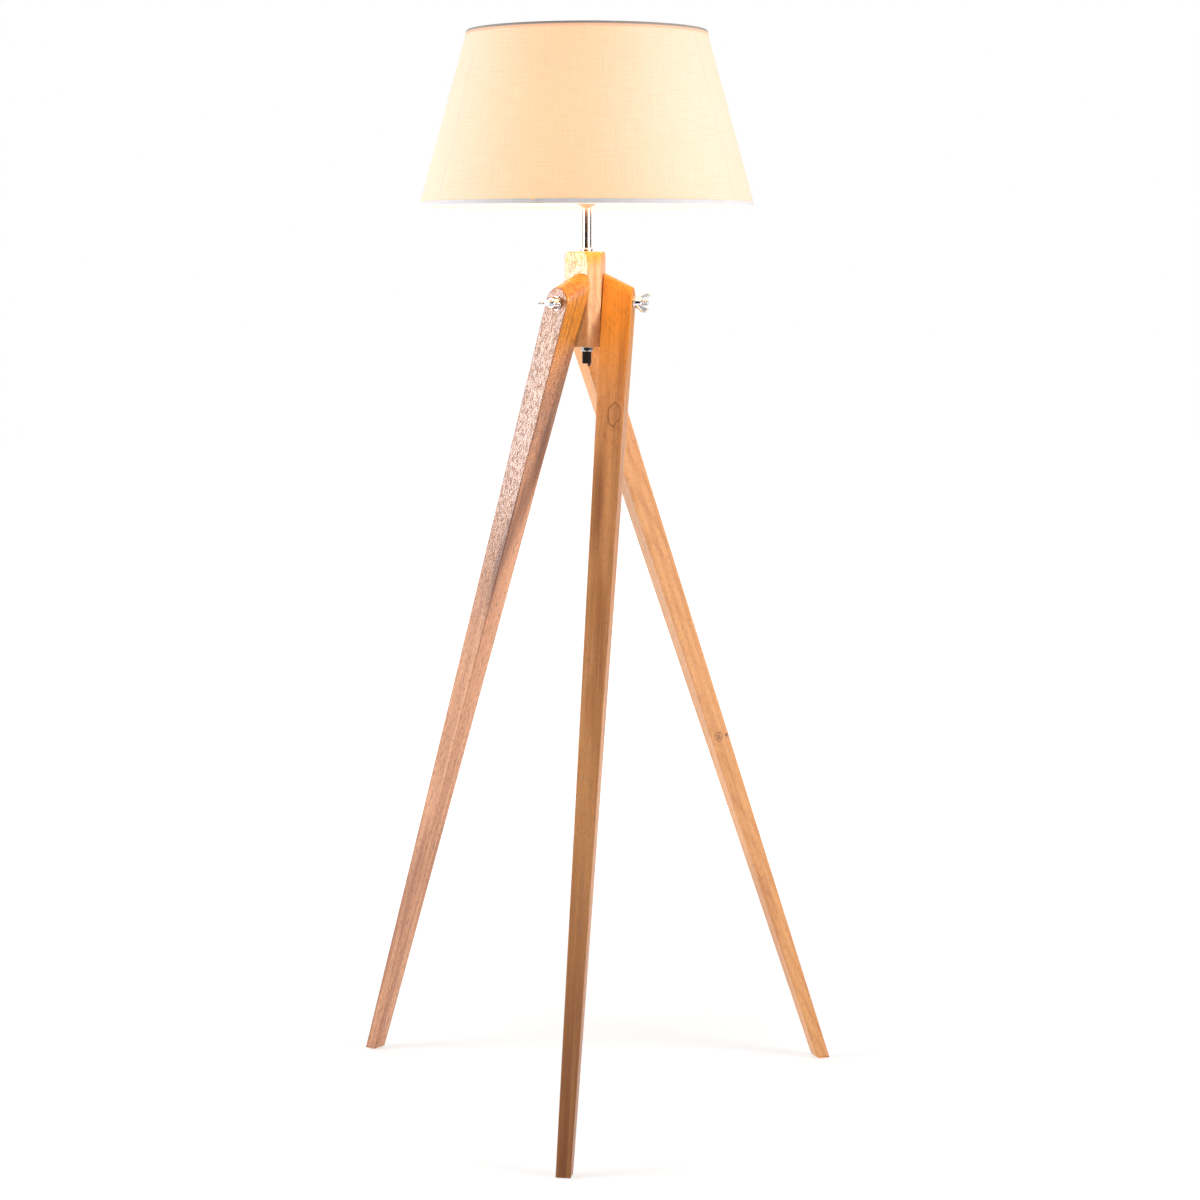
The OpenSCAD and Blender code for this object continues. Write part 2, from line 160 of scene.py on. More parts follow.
def arc(centre, radius, start, end, steps):
    """Points of a profile's round stretch, between two angles in degrees."""
    turns = [math.radians(turn) for turn in spaced(start, end, steps)]
    return [(centre[0] + radius * math.cos(turn), centre[1] + radius * math.sin(turn))
            for turn in turns]


def in_mm(points, z=0.0):
    """A profile that is given in millimetres, lifted by a height in metres."""
    return [(r * MM, z + h * MM) for r, h in points]


def grid(rows, wrap_rows=False, wrap_columns=False):
    """Vertices and quads of a grid of points, given as a list of equally long rows."""
    count, width = len(rows), len(rows[0])
    faces = []
    for i in range(count if wrap_rows else count - 1):
        for j in range(width if wrap_columns else width - 1):
            right, down = (j + 1) % width, (i + 1) % count
            faces.append((i * width + j, i * width + right, down * width + right, down * width + j))
    return [point for row in rows for point in row], faces


def turned(profile, segments=96, closed=True, warp=None):
    """A profile of (radius, height) turned round the Z axis. warp(angle, r, z) may change r and z."""
    rows = []
    for i in range(segments):
        angle = TAU * i / segments
        row = []
        for r, z in profile:
            r, z = warp(angle, r, z) if warp else (r, z)
            row.append(polar(r, angle, z))
        rows.append(row)
    return grid(rows, wrap_rows=True, wrap_columns=closed)


def swept(path, radius, sides=10):
    """A round wire along a list of points, with rounded ends."""
    points = [Vector(point) for point in path]
    last = len(points) - 1
    tangents = [(points[min(i + 1, last)] - points[max(i - 1, 0)]).normalized()
                for i in range(last + 1)]
    normal = tangents[0].orthogonal().normalized()
    rows = []
    for i, (point, tangent) in enumerate(zip(points, tangents)):
        normal = (normal - tangent * normal.dot(tangent)).normalized()
        other = tangent.cross(normal)
        # Each ring is (distance along the wire, radius), as shares of the wire's radius
        rings = [(0, 1)]
        if i == 0:
            rings = [(-1, 0), (-0.6, 0.8), (0, 1)]
        elif i == last:
            rings = [(0, 1), (0.6, 0.8), (1, 0)]
        for along, share in rings:
            rows.append([point + (tangent * along + (normal * math.cos(TAU * k / sides)
                                                     + other * math.sin(TAU * k / sides)) * share)
                         * radius for k in range(sides)])
    return grid(rows, wrap_columns=True)


def ladder(ring):
    """Quads across a ring of vertices, from one of its sides to the other."""
    last = len(ring) - 1
    return [(ring[k], ring[k + 1], ring[last - 1 - k], ring[last - k]) for k in range(last // 2)]


def tube(rows, quads=True):
    """A solid from rows of points round it. Quads or one face each close its two ends."""
    vertices, faces = grid(rows, wrap_columns=True)
    width = len(rows[0])
    for first in (0, (len(rows) - 1) * width):
        ring = tuple(range(first, first + width))
        faces += ladder(ring) if quads else [ring]
    return vertices, faces


def placed(mesh, place):
    """A mesh moved by a matrix."""
    vertices, faces = mesh
    return [place @ Vector(point) for point in vertices], faces


def joined(*parts):
    """One mesh out of several, each given as (vertices, faces)."""
    vertices, faces = [], []
    for part_vertices, part_faces in parts:
        first = len(vertices)
        vertices += [tuple(point) for point in part_vertices]
        faces += [tuple(first + index for index in face) for face in part_faces]
    return vertices, faces


def linked(name, data):
    """A new object that is in the scene."""
    made = bpy.data.objects.new(name, data)
    bpy.context.scene.collection.objects.link(made)
    return made


def solid(name, mesh, place=None):
    """A new object from (vertices, faces), with its seams closed and its faces turned outwards."""
    vertices, faces = mesh
    data = bpy.data.meshes.new(name)
    data.from_pydata([tuple(point) for point in vertices], [], faces)
    if place:
        data.transform(place)
    shape = bmesh.new()
    shape.from_mesh(data)
    bmesh.ops.remove_doubles(shape, verts=shape.verts, dist=1e-7)
    bmesh.ops.recalc_face_normals(shape, faces=shape.faces)
    shape.to_mesh(data)
    shape.free()
    return linked(name, data)


def piece(name, mesh, body, material, node, place=None, sharp=40, slot=None):
    """A new object that rides on a body and stands for a CAD node. Its slot is not used."""
    made = solid(name, mesh, place)
    made.data.materials.append(material)
    made.data.shade_smooth()
    made.data.set_sharp_from_angle(angle=math.radians(sharp))
    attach(made, body)
    slot or material.name.split(".")[0]
    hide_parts(node)
    return made


def result(made):
    """The mesh of a scratch object after its modifiers. The object goes."""
    final = bpy.data.meshes.new_from_object(
        made.evaluated_get(bpy.context.evaluated_depsgraph_get()))
    vertices = [tuple(vertex.co) for vertex in final.vertices]
    faces = [tuple(face.vertices) for face in final.polygons]
    bpy.data.objects.remove(made)
    return vertices, faces


def bored(mesh, bores):
    """A mesh with round holes, each given as (place, radius, length) of a cylinder along its Z."""
    block = solid("scratch", mesh)
    cutters = []
    for place, radius, length in bores:
        cylinder = turned([(0, 0), (radius, 0), (radius, length), (0, length)], 40, False)
        cutters.append(solid("cutter", cylinder, place))
        cut = block.modifiers.new("bore", "BOOLEAN")
        cut.operation = "DIFFERENCE"
        cut.object = cutters[-1]
    mesh = result(block)
    for cutter in cutters:
        bpy.data.objects.remove(cutter)
    return mesh


def thread(crest, depth, pitch, first, last):
    """A warp that cuts a right-hand thread into what stands at the crest's radius."""
    def cut(angle, r, z):
        if abs(r - crest) > 1e-6 or not first <= z <= last:
            return r, z
        phase = (z / pitch - angle / TAU) % 1
        flank = min(1, max(0, abs(2 * phase - 1) * 1.35 - 0.15))
        fade = min(1, (z - first) / pitch, (last - z) / pitch)
        return r - depth * flank * fade, z
    return cut


def spaced(start, end, count):
    return [start + (end - start) * i / count for i in range(count + 1)]


def levels(start, end, step):
    return spaced(start, end, max(1, round(abs(end - start) / step)))


# ---- Node trees ----

class Tree:
    """A material's or a world's node tree, with a short method for each kind of node it needs."""

    def __init__(self, owner, shader, **values):
        owner.use_nodes = True
        self.owner = owner
        self.nodes = owner.node_tree.nodes
        self.shader = self.nodes[shader]
        for socket, value in values.items():
            self.shader.inputs[socket.replace("_", " ")].default_value = value

    def feed(self, socket, value):
        if isinstance(value, bpy.types.NodeSocket):
            self.owner.node_tree.links.new(value, socket)
        else:
            socket.default_value = value

    def add(self, kind, inputs=(), **settings):
        node = self.nodes.new("ShaderNode" + kind)
        for name, value in settings.items():
            setattr(node, name, value)
        for name, value in dict(inputs).items():
            self.feed(node.inputs[name], value)
        return node

    def set(self, name, value):
        self.feed(self.shader.inputs[name], value)

    def coordinates(self, place=(0, 0, 0), turn=(0, 0, 0), scale=(1, 1, 1)):
        """Object coordinates in a frame of their own, then scaled."""
        source = self.add("TexCoord").outputs["Object"]
        local = self.add("Mapping", {"Vector": source, "Location": place, "Rotation": turn},
                         vector_type="TEXTURE").outputs[0]
        return self.scaled(local, scale)

    def scaled(self, vector, scale):
        return self.add("VectorMath", {0: vector, 1: scale}, operation="MULTIPLY").outputs[0]

    def math(self, operation, a, b=0.0, clamp=False):
        return self.add("Math", {0: a, 1: b}, operation=operation, use_clamp=clamp).outputs[0]

    def total(self, first, *others):
        for value in others:
            first = self.math("ADD", first, value)
        return first

    def product(self, first, *others):
        for value in others:
            first = self.math("MULTIPLY", first, value)
        return first

    def split(self, vector):
        return self.add("SeparateXYZ", {0: vector}).outputs

    def noise(self, vector, scale=1.0, detail=2.0, roughness=0.5, distortion=0.0):
        return self.add("TexNoise", {"Vector": vector, "Scale": scale, "Detail": detail,
                                     "Roughness": roughness, "Distortion": distortion}).outputs["Fac"]

    def range(self, value, low_in, high_in, low_out=0.0, high_out=1.0, smooth=False):
        return self.add("MapRange", {"Value": value, "From Min": low_in, "From Max": high_in,
                                     "To Min": low_out, "To Max": high_out},
                        interpolation_type="SMOOTHSTEP" if smooth else "LINEAR").outputs[0]

    def mix(self, share, a, b, blend="MIX"):
        node = self.add("Mix", data_type="RGBA", blend_type=blend)
        self.feed(node.inputs[0], share)
        self.feed(node.inputs[6], a)
        self.feed(node.inputs[7], b)
        return node.outputs[2]

    def glow(self, tint, strength):
        self.set("Emission Color", tint)
        self.set("Emission Strength", strength)

    def bump(self, height, distance, coat=False):
        node = self.add("Bump", {"Height": height, "Distance": distance})
        self.set("Normal", node.outputs[0])
        if coat:
            self.set("Coat Normal", node.outputs[0])


def surface(name, **values):
    return Tree(bpy.data.materials.new(name), "Principled BSDF", **values)


def colour(red, green, blue):
    """An sRGB colour of 0 to 255 as Blender's linear one."""
    return tuple((c / 255 / 12.92) if c < 10.3 else ((c / 255 + 0.055) / 1.055) ** 2.4
                 for c in (red, green, blue)) + (1.0,)


# ---- Wood ----

def wood(name, place, turn, tones, pith, seed, lamp_glow_heights=(-0.17, 0.0), cone=0.012, varnish=0.5,
         flecks=0.35, knots_and_shadows=(), stains_and_shade=(), outer_face_shade=None):
    """Varnished hardwood whose grain runs along the local Z axis.

    tones are the pale, the dark, and the colour of stains and of painted shade. pith is where the
    middle of the log lay across the board, and cone is how fast its rings widen along the board.
    The glow heights are those between which the wood is painted orange, as if lit by the lamp;
    varnish is how thick it is, and flecks is how dark the pores are. Each knot, and each painted
    shadow given among the knots, is its place, its radius, how far it stretches along the grain,
    and how dark its rim and its core are. Each stain, and each patch of painted shade given among
    the stains, is its place, its radius, how far it stretches, and how strong it is. The outer
    face shade is painted shade on a board's outer face: how far out that starts, how it follows
    the board's taper, the heights between which it comes on, and how strong it is.
    """
    pale, dark, stain_and_shade_tone = tones
    tree = surface(name, Coat_Weight=varnish, Coat_Roughness=0.2, Specular_IOR_Level=0.25)
    local = tree.coordinates(place, turn)
    shifted = tree.add("VectorMath", {0: local, 1: (seed, seed * 1.7, seed * 2.3)},
                       operation="ADD").outputs[0]
    sway = tree.noise(tree.scaled(shifted, (11, 11, 2.6)), detail=3)
    x, y, z = tree.split(local)
    across = tree.math("SUBTRACT", x, pith[0])
    along = tree.math("SUBTRACT", y, pith[1])
    radius = tree.math("SQRT", tree.total(tree.product(across, across), tree.product(along, along)))
    radius = tree.total(radius, tree.product(sway, 0.020), tree.product(z, cone))

    wobble = tree.noise(tree.scaled(shifted, (75, 75, 32)), detail=3)
    streak = tree.noise(tree.scaled(shifted, (170, 170, 2.2)), detail=4, roughness=0.6)

    def away_from(spot, reach, stretch, unevenness):
        """Distance from a spot, measured shorter along the grain, and made uneven."""
        offset = tree.add("VectorMath", {0: local, 1: spot}, operation="SUBTRACT").outputs[0]
        away = tree.add("VectorMath", {0: tree.scaled(offset, (1, 1, 1 / stretch))},
                        operation="LENGTH").outputs["Value"]
        ripple = tree.range(unevenness, 0.3, 0.7, -0.3 * reach, 0.3 * reach)
        return tree.total(away, ripple)

    ring_width = 6.2 * MM
    knot_and_shadow_dark = 0.0
    for spot, knot_radius, stretch, rim_dark, core_dark in knots_and_shadows:
        away = away_from(spot, knot_radius, stretch, wobble)
        near = tree.range(away, 3.5 * knot_radius, 0, smooth=True)
        radius = tree.total(radius, tree.product(near, 1.6 * knot_radius))
        from_rim = tree.math("ABSOLUTE", tree.math("SUBTRACT", away, knot_radius))
        rim = tree.range(from_rim, 0.18 * knot_radius, 0, 0, rim_dark, smooth=True)
        core = tree.range(away, knot_radius, 0.2 * knot_radius, 0, core_dark, smooth=True)
        knot_and_shadow_dark = tree.math("MAXIMUM", knot_and_shadow_dark, tree.math("MAXIMUM", rim, core))
    wave = tree.math("COSINE", tree.product(radius, TAU / ring_width))
    ring = tree.math("POWER", tree.range(wave, -1, 1), 3.0)
    patchy = tree.noise(tree.scaled(shifted, (14, 14, 4)), detail=1)
    ring = tree.product(ring, tree.range(patchy, 0.35, 0.65, 0.08, 0.42))
    fibre = tree.noise(tree.scaled(shifted, (900, 900, 14)), detail=3, roughness=0.65)
    fleck = tree.noise(tree.scaled(shifted, (800, 800, 130)), detail=2, roughness=0.6)
    fleck = tree.range(fleck, 0.52, 0.66)
    flame = tree.noise(tree.scaled(shifted, (26, 26, 2.4)), detail=3, distortion=0.5)
    tone = tree.total(ring, tree.range(streak, 0.34, 0.68, 0, 0.62),
                      tree.range(fibre, 0.3, 0.7, -0.20, 0.22))
    tone = tree.math("ADD", tone, tree.range(flame, 0.35, 0.65, -0.1, 0.25), clamp=True)
    base = tree.mix(tone, pale, dark)
    stain_and_shade_share = tree.product(tree.range(flame, 0.50, 0.68), tree.range(streak, 0.4, 0.6), 0.5)
    for spot, reach, stretch, strength in stains_and_shade:
        away = away_from(spot, reach, stretch, streak)
        spread = tree.range(away, 1.1 * reach, 0.3 * reach, 0, strength, smooth=True)
        spread = tree.product(spread, tree.range(streak, 0.35, 0.6, 0.75, 1.1))
        stain_and_shade_share = tree.math("ADD", stain_and_shade_share, spread, clamp=True)
    # Painted shade on the board's outer face, darker towards the board's top.
    if outer_face_shade:
        start, taper, lower, upper, strength = outer_face_shade
        depth = tree.math("SUBTRACT", x, tree.product(z, taper))
        tan = tree.product(tree.range(depth, start, start + MM),
                           tree.range(z, lower, upper, 0, strength, smooth=True))
        stain_and_shade_share = tree.math("ADD", stain_and_shade_share, tan, clamp=True)
    # Stains, and the patches of painted shade given with them, darken towards the third tone.
    base = tree.mix(stain_and_shade_share, base, stain_and_shade_tone)
    base = tree.mix(tree.product(fleck, flecks), base, (0.20, 0.085, 0.05, 1))
    # Knots' rims and cores go dark brown, and so do painted shadows given as knots.
    base = tree.mix(knot_and_shadow_dark, base, (0.12, 0.045, 0.022, 1))
    # Painted glow of the lamp: between the glow heights the wood turns orange, as if lit by the bulb.
    painted_lamp_glow = tree.mix(1.0, base, (1.0, 0.80, 0.12, 1), blend="MULTIPLY")
    base = tree.mix(tree.range(z, lamp_glow_heights[0], lamp_glow_heights[1], smooth=True), base, painted_lamp_glow)
    tree.set("Base Color", base)
    tree.set("Roughness", tree.range(tree.total(fibre, fleck), 0.2, 1.4, 0.38, 0.60))
    relief = tree.math("SUBTRACT", tree.product(fibre, 0.3), fleck)
    tree.bump(relief, 0.00016, coat=True)
    return tree.owner


def leg_frame(side):
    """The axes of a hanging leg: X along its bolt from its inner face, Z up its length."""
    inner_face = bolt_axis[side] * span(f"leg_{side}", bolt_axis[side])[0]
    return (Matrix.Translation(inner_face + UP * bolt_z)
            @ Matrix.Rotation(bolt_turn[side], 4, "Z") @ Matrix.Rotation(-leg_lean, 4, "X"))


def leg_board(side):
    """A tapered board in its leg's axes. Its crown slants up towards the hub, the floor cuts its
    foot, and all its edges are eased."""
    to_leg = leg_frame(side).inverted()
    points = [to_leg @ vertex.co for vertex in frame["nodes"][f"leg_{side}"].data.vertices]
    thick = max(p.x for p in points)
    inner_top, outer_top = (max(p.z for p in points if abs(p.x - x) < 0.01 * MM)
                            for x in (0, thick))
    flat_end = min(p.z for p in points if p.x > thick - 0.01 * MM)
    toe = min(points, key=lambda p: p.z)
    foot_thick = max(p.x for p in points if p.z < toe.z + MM)
    half = max(p.y for p in points)
    heel_cut, toe_cut = 5.4 * MM, 1.6 * MM

    def half_width(z):
        return half - (half + toe.y) * max(0, z / toe.z)

    def thickness(z):
        return thick - (thick - foot_thick) * max(0, (flat_end - z) / (flat_end - toe.z))

    def floor_point(y):
        return y, toe.z + (y - toe.y) * math.tan(leg_lean)

    heel = floor_point(-toe.y * 1.005)

    def outline(x):
        """Points (y, z) round the board, anticlockwise from the middle of its foot."""
        crown = (inner_top - outer_top) * (1 - x / thick)
        right = [(half_width(z), z) for z in spaced(heel[1] + 12 * MM, crown, 28)]
        left = [(-half_width(z), z) for z in spaced(crown, toe.z + 9 * MM, 28)]
        head = [(half * math.cos(turn), crown + outer_top * math.sin(turn))
                for turn in spaced(0, math.pi, 33)[1:-1]]
        middle = floor_point(0)
        return ([floor_point(-0.3 * toe.y)] + corner(middle, heel, right[0], heel_cut, 7) + right
                + head + left + corner(left[-1], toe.yz, middle, toe_cut, 7)
                + [floor_point(0.3 * toe.y)])

    edge = arris(1.3 * MM, 4, 0.9 * MM)
    rows = []
    for depth, inwards in reversed(edge):
        rows.append([(depth, y, z) for y, z in inset(outline(depth), inwards)])
    for share in (0.25, 0.5, 0.75):
        rows.append([(share * thickness(z), y, z) for y, z in outline(share * thick)])
    for depth, inwards in edge:
        rows.append([(thickness(z) - depth, y, z)
                     for y, z in inset(outline(thick - depth), inwards)])
    bore = Matrix.Translation((-MM, 0, 0)) @ Matrix.Rotation(math.pi / 2, 4, "Y")
    return bored(tube(rows), [(bore, bolt_r + 0.05 * MM, thick + 2 * MM)])


def hub_block():
    """Three long faces and three narrow ones, which are rounded into the top."""
    bottom, top = low("hub"), high("hub")
    long_r = span("hub", bolt_axis["front"])[1]
    narrow_r = span("hub", Matrix.Rotation(math.pi / 3, 3, "Z") @ bolt_axis["front"])[1]
    crown_r, edge_r = 7.5 * MM, 1.3 * MM

    def row(z, long_in, narrow_in):
        """The outline at a height, with each face moved inwards."""
        reach = [long_r - long_in, narrow_r - narrow_in] * 3
        points = []
        for i in range(6):
            turn, here, after = bolt_turn["front"] + i * TAU / 6, reach[i], reach[(i + 1) % 6]
            beside = (after - here * math.cos(TAU / 6)) / math.sin(TAU / 6)
            points.append((here * math.cos(turn) - beside * math.sin(turn),
                           here * math.sin(turn) + beside * math.cos(turn)))
        return [(x, y, z) for x, y in rounded(points, 1.7 * MM, 4, support=0.8 * MM)]

    rows = [row(bottom + depth, inwards, inwards) for depth, inwards in reversed(arris(edge_r, 4, MM))]
    rows += [row(z, 0, 0) for z in levels(bottom + 20 * MM, top - crown_r - 10 * MM, 20 * MM)]
    for step in range(13):
        turn = math.pi / 2 * step / 12
        z = top - crown_r * (1 - math.sin(turn))
        under = max(0, z - top + edge_r)
        long_in = edge_r - math.sqrt(edge_r * edge_r - under * under)
        rows.append(row(z, long_in, crown_r * (1 - math.cos(turn))))
    rows.append(row(top, edge_r + MM, crown_r + MM))
    bores = [(Matrix.Translation((0, 0, bottom - MM)), 5.2 * MM, top - bottom + 2 * MM)]
    for side in SIDES:
        root = span(f"hanger_bolt_{side}", bolt_axis[side])[0]
        bores.append((along_bolt(side, root), bolt_r + 0.02 * MM, long_r))
    return bored(tube(rows, quads=False), bores)


def along_bolt(side, start, turn=0.0):
    """Puts a shape that stands on Z along a leg's bolt, at a distance from the lamp's axis."""
    place = Matrix.Translation(bolt_axis[side] * start + UP * bolt_z)
    return (place @ Matrix.Rotation(bolt_turn[side], 4, "Z") @ Matrix.Rotation(math.pi / 2, 4, "Y")
            @ Matrix.Rotation(turn, 4, "Z"))


LEG_WOOD = {
    "left": {
        "tones": (colour(222, 162, 122), colour(186, 120, 80), colour(122, 72, 42)),
        "pith": (0.075, 0.012), "seed": 1.3, "varnish": 0.8, "flecks": 0.7,
        "knots_and_shadows": [((0.016, 0.017, -0.19), 0.007, 3.5, 0.40, 0.15)],
        # These stains step outwards down the side face: painted shadow of the hub.
        "stains_and_shade": [((0.005 + 0.010 * k, 0.020, -0.17 - 0.07 * k), 0.015, 7, 0.75) for k in range(4)],
        # The upper part of the outer face is painted darker as shade.
        "outer_face_shade": (0.0385, 0.018, -0.54, -0.34, 0.55)},
    "front": {
        "tones": (colour(214, 152, 97), colour(176, 114, 65), colour(128, 76, 46)),
        "pith": (0.012, -0.085), "seed": 4.1, "varnish": 0.25,
        "knots_and_shadows": [((0.025, -0.017, -0.160), 0.0078, 2.0, 0.65, 0.20)],
        "stains_and_shade": [((0.008, -0.017, -0.28), 0.011, 9, 0.6),
                   # This one darkens the leg towards its foot: painted shade.
                   ((0.010, -0.009, -1.16), 0.040, 12, 0.8)]},
    "back": {
        "tones": (colour(232, 167, 106), colour(202, 135, 79), colour(178, 110, 66)),
        "pith": (-0.035, 0.012), "seed": 7.9, "cone": 0.08,
        "knots_and_shadows": [((0.0, 0.0026, -0.640), 0.006, 1.2, 0.60, 0.50),
                  ((0.0, -0.0095, -0.642), 0.0022, 1.2, 0.80, 0.90)]},
}
for side, look in LEG_WOOD.items():
    axes = leg_frame(side)
    leg_wood = wood(f"wood_leg_{side}", axes.translation, axes.to_euler(), **look)
    piece(f"leg_board_{side}", leg_board(side), f"leg_{side}", leg_wood, f"leg_{side}", axes,
          slot=f"leg_{side}_wood")
hub_wood = wood("wood_hub", (0, 0, bolt_z), (0, 0, bolt_turn["front"]),
                (colour(232, 180, 128), colour(206, 146, 92), colour(190, 128, 78)),
                # Near its top the hub is painted orange, as the lamp's glow.
                (0.05, 0.06), 11.7, lamp_glow_heights=(0.044, 0.060), varnish=1.0,
                # The one knot given here is painted shadow: a dark patch low on the hub, drawn as a
                # knot's dark core.
                knots_and_shadows=[((0.030, -0.021, -0.054), 0.014, 1.6, 0.0, 0.8)])
piece("hub_block", hub_block(), "stand", hub_wood, "hub", slot="hub_wood")


# ---- Metals, plastics and glass ----

def metal(name, base, roughness, grime=0.05, thread_pitch=0):
    """Plated or plain metal with faint rubbing marks and a little grime, or with a fine thread."""
    tree = surface(name, Metallic=1.0)
    local = tree.coordinates()
    smear = tree.noise(local, 90, detail=4)
    darker = tuple(c * 0.72 for c in base[:3]) + (1.0,)
    tree.set("Base Color", tree.mix(tree.range(smear, 0.45, 0.8, 0, 0.5), base, darker))
    tree.set("Roughness", tree.range(smear, 0.3, 0.75, roughness, roughness + grime))
    if thread_pitch:
        wave = tree.add("TexWave", {"Scale": TAU / 20 / thread_pitch}, bands_direction="Z")
        tree.feed(wave.inputs["Vector"], local)
        tree.bump(wave.outputs["Fac"], 0.4 * MM)
    else:
        tree.bump(tree.noise(local, 400, detail=2), 0.004 * MM)
    return tree.owner


def moulded(name, base, roughness, speckle=0.06, subsurface=0.0):
    """Moulded plastic or fibre: fine spark-eroded grain, and small changes of tone."""
    tree = surface(name, Subsurface_Weight=subsurface, Subsurface_Scale=0.004)
    local = tree.coordinates()
    cloud = tree.noise(local, 60, detail=3)
    grain = tree.noise(local, 2600, detail=2)
    shade = tuple(c * (1 - speckle) ** 3 for c in base[:3]) + (1.0,)
    tree.set("Base Color", tree.mix(cloud, base, shade))
    tree.set("Roughness", tree.range(cloud, 0.3, 0.7, roughness - 0.05, roughness + 0.08))
    tree.bump(grain, 0.00003)
    return tree.owner


def dress(node, material, edge):
    """Gives a CAD node its material, and breaks its edges by a width, as a mould or a barrel does."""
    made = frame["nodes"][node]
    made.data.materials.clear()
    made.data.materials.append(material)
    if not edge:
        return
    weld = made.modifiers.new("weld", "WELD")
    weld.merge_threshold = 2e-6
    bevel = made.modifiers.new("edges", "BEVEL")
    bevel.width = edge
    bevel.segments = 2
    bevel.limit_method = "ANGLE"
    bevel.angle_limit = math.radians(25)
    bevel.harden_normals = True
    made.data.shade_smooth()


chrome = metal("chrome", colour(226, 227, 232), 0.045, 0.03)
# The stem's chrome is a copy of the chrome, tinted warm as a painted reflection of the lamp's orange
# glow, and made rougher.
glow_tinted_stem_chrome = metal("chrome_stem_glow_tinted", colour(230, 206, 190), 0.13, 0.02)
zinc = metal("zinc_steel", colour(196, 198, 202), 0.22, 0.15)
tube_steel = metal("threaded_steel", colour(186, 187, 190), 0.25, 0.15, thread_pitch=MM)
brass = metal("brass", colour(214, 178, 104), 0.2, 0.15)
cap_metal = metal("bulb_metal", colour(206, 208, 210), 0.26, 0.12)
tungsten = metal("tungsten", colour(120, 118, 116), 0.35)
fibre = moulded("black_fibre", colour(38, 35, 34), 0.75)
black_plastic = moulded("black_plastic", colour(26, 26, 28), 0.38)
cream_plastic = moulded("holder_plastic", colour(214, 176, 136), 0.32, 0.03, 0.08)
ceramic = moulded("holder_ceramic", colour(244, 241, 234), 0.2, 0.03)
wire_paint = moulded("frame_white", colour(240, 238, 232), 0.35, 0.05)
black_glass = moulded("black_glass", colour(20, 18, 24), 0.08)


def opal_glass():
    """The lit bulb's frosted envelope: it glows, and less so near its cap."""
    tree = surface("bulb_glass", Roughness=0.25, IOR=1.5, Coat_Weight=0.3)
    tree.set("Base Color", colour(255, 248, 236))
    height = tree.split(tree.coordinates())[2]
    near_cap = tree.range(height, low("bulb_glass"), low("bulb_glass") + 0.035, 0.15, 1, True)
    grain = tree.noise(tree.coordinates(), 900, detail=2)
    tree.glow(colour(255, 222, 170),
              tree.product(near_cap, tree.range(grain, 0.3, 0.7, 0.96, 1.04), 6.0))
    return tree.owner


def clear_glass():
    tree = surface("clear_glass", Roughness=0.03, IOR=1.5, Transmission_Weight=1.0)
    ripple = tree.noise(tree.coordinates(), 120, detail=2)
    tree.set("Base Color", tree.mix(ripple, (0.97, 0.98, 0.97, 1), (0.93, 0.95, 0.94, 1)))
    tree.bump(ripple, 0.0001)
    return tree.owner


frosted = opal_glass()
glass = clear_glass()


# ---- Shade ----

def weave(tree, radius, pitch):
    """Threads of a plain weave round the lamp's axis: their relief and tone, each 0 to 1, and
    the angle and height that they are laid out by. The angle jumps at the back, under the lap."""
    x, y, z = tree.split(tree.coordinates())
    angle = tree.math("ARCTAN2", x, tree.product(y, -1.0))
    around = tree.product(angle, radius)
    warp_wave, weft_wave = (tree.math("SINE", tree.product(way, TAU / pitch)) for way in (around, z))
    relief = tree.range(tree.product(warp_wave, weft_wave), -1, 1)
    flat = tree.add("CombineXYZ", {"X": around, "Y": z}).outputs[0]
    weft_slub = tree.noise(tree.scaled(flat, (22, 1100, 1)), detail=3, roughness=0.6)
    warp_slub = tree.noise(tree.scaled(flat, (1100, 22, 1)), detail=3, roughness=0.6)
    slub = tree.product(tree.total(weft_slub, warp_slub), 0.5)
    return relief, tree.range(slub, 0.36, 0.62), angle, z


def linen():
    """Backlit linen: it glows, its threads show, and the struts behind it cast faint painted shadows."""
    tree = surface("shade_linen", Roughness=0.9, Sheen_Weight=0.25, Sheen_Roughness=0.5,
                   Specular_IOR_Level=0.15)
    relief, tone, angle, z = weave(tree, outer_radius("shade_cover"), 0.9 * MM)
    threads = tree.total(tree.product(relief, 0.35), tree.product(tone, 0.65))
    tree.set("Base Color", tree.mix(threads, colour(164, 160, 172), colour(192, 189, 202)))
    # The struts stand at 120 degrees to each other, one of them at the back; along each of them the glow
    # is painted dimmer, as the strut's shadow.
    beside_strut = tree.math("COSINE", tree.total(tree.product(angle, 3.0), math.pi))
    strut_shadow = tree.range(beside_strut, 0.9982, 0.99995, 1.0, 0.91, True)
    top = tree.range(z, high("shade_cover") - 12 * MM, high("shade_cover"), 1, 0.86, True)
    cloud = tree.range(tree.noise(tree.coordinates(), 7), 0.3, 0.7, 0.97, 1.03)
    lit = tree.product(tree.range(threads, 0.1, 0.9, 0.93, 1.04), strut_shadow, top, cloud, 0.68)
    tree.glow((1.0, 0.52, 0.01, 1), lit)
    tree.bump(threads, 0.00012)
    return tree.owner


def lining():
    """White laminate inside the cover, lit by the bulb."""
    tree = surface("shade_lining", Roughness=0.5)
    cloud = tree.noise(tree.coordinates(), 25, detail=2)
    tree.set("Base Color", tree.mix(cloud, colour(255, 250, 240), colour(247, 240, 226)))
    tree.glow(colour(255, 246, 232), tree.range(cloud, 0.3, 0.7, 0.40, 0.48))
    tree.bump(tree.noise(tree.coordinates(), 500), 0.00004)
    return tree.owner


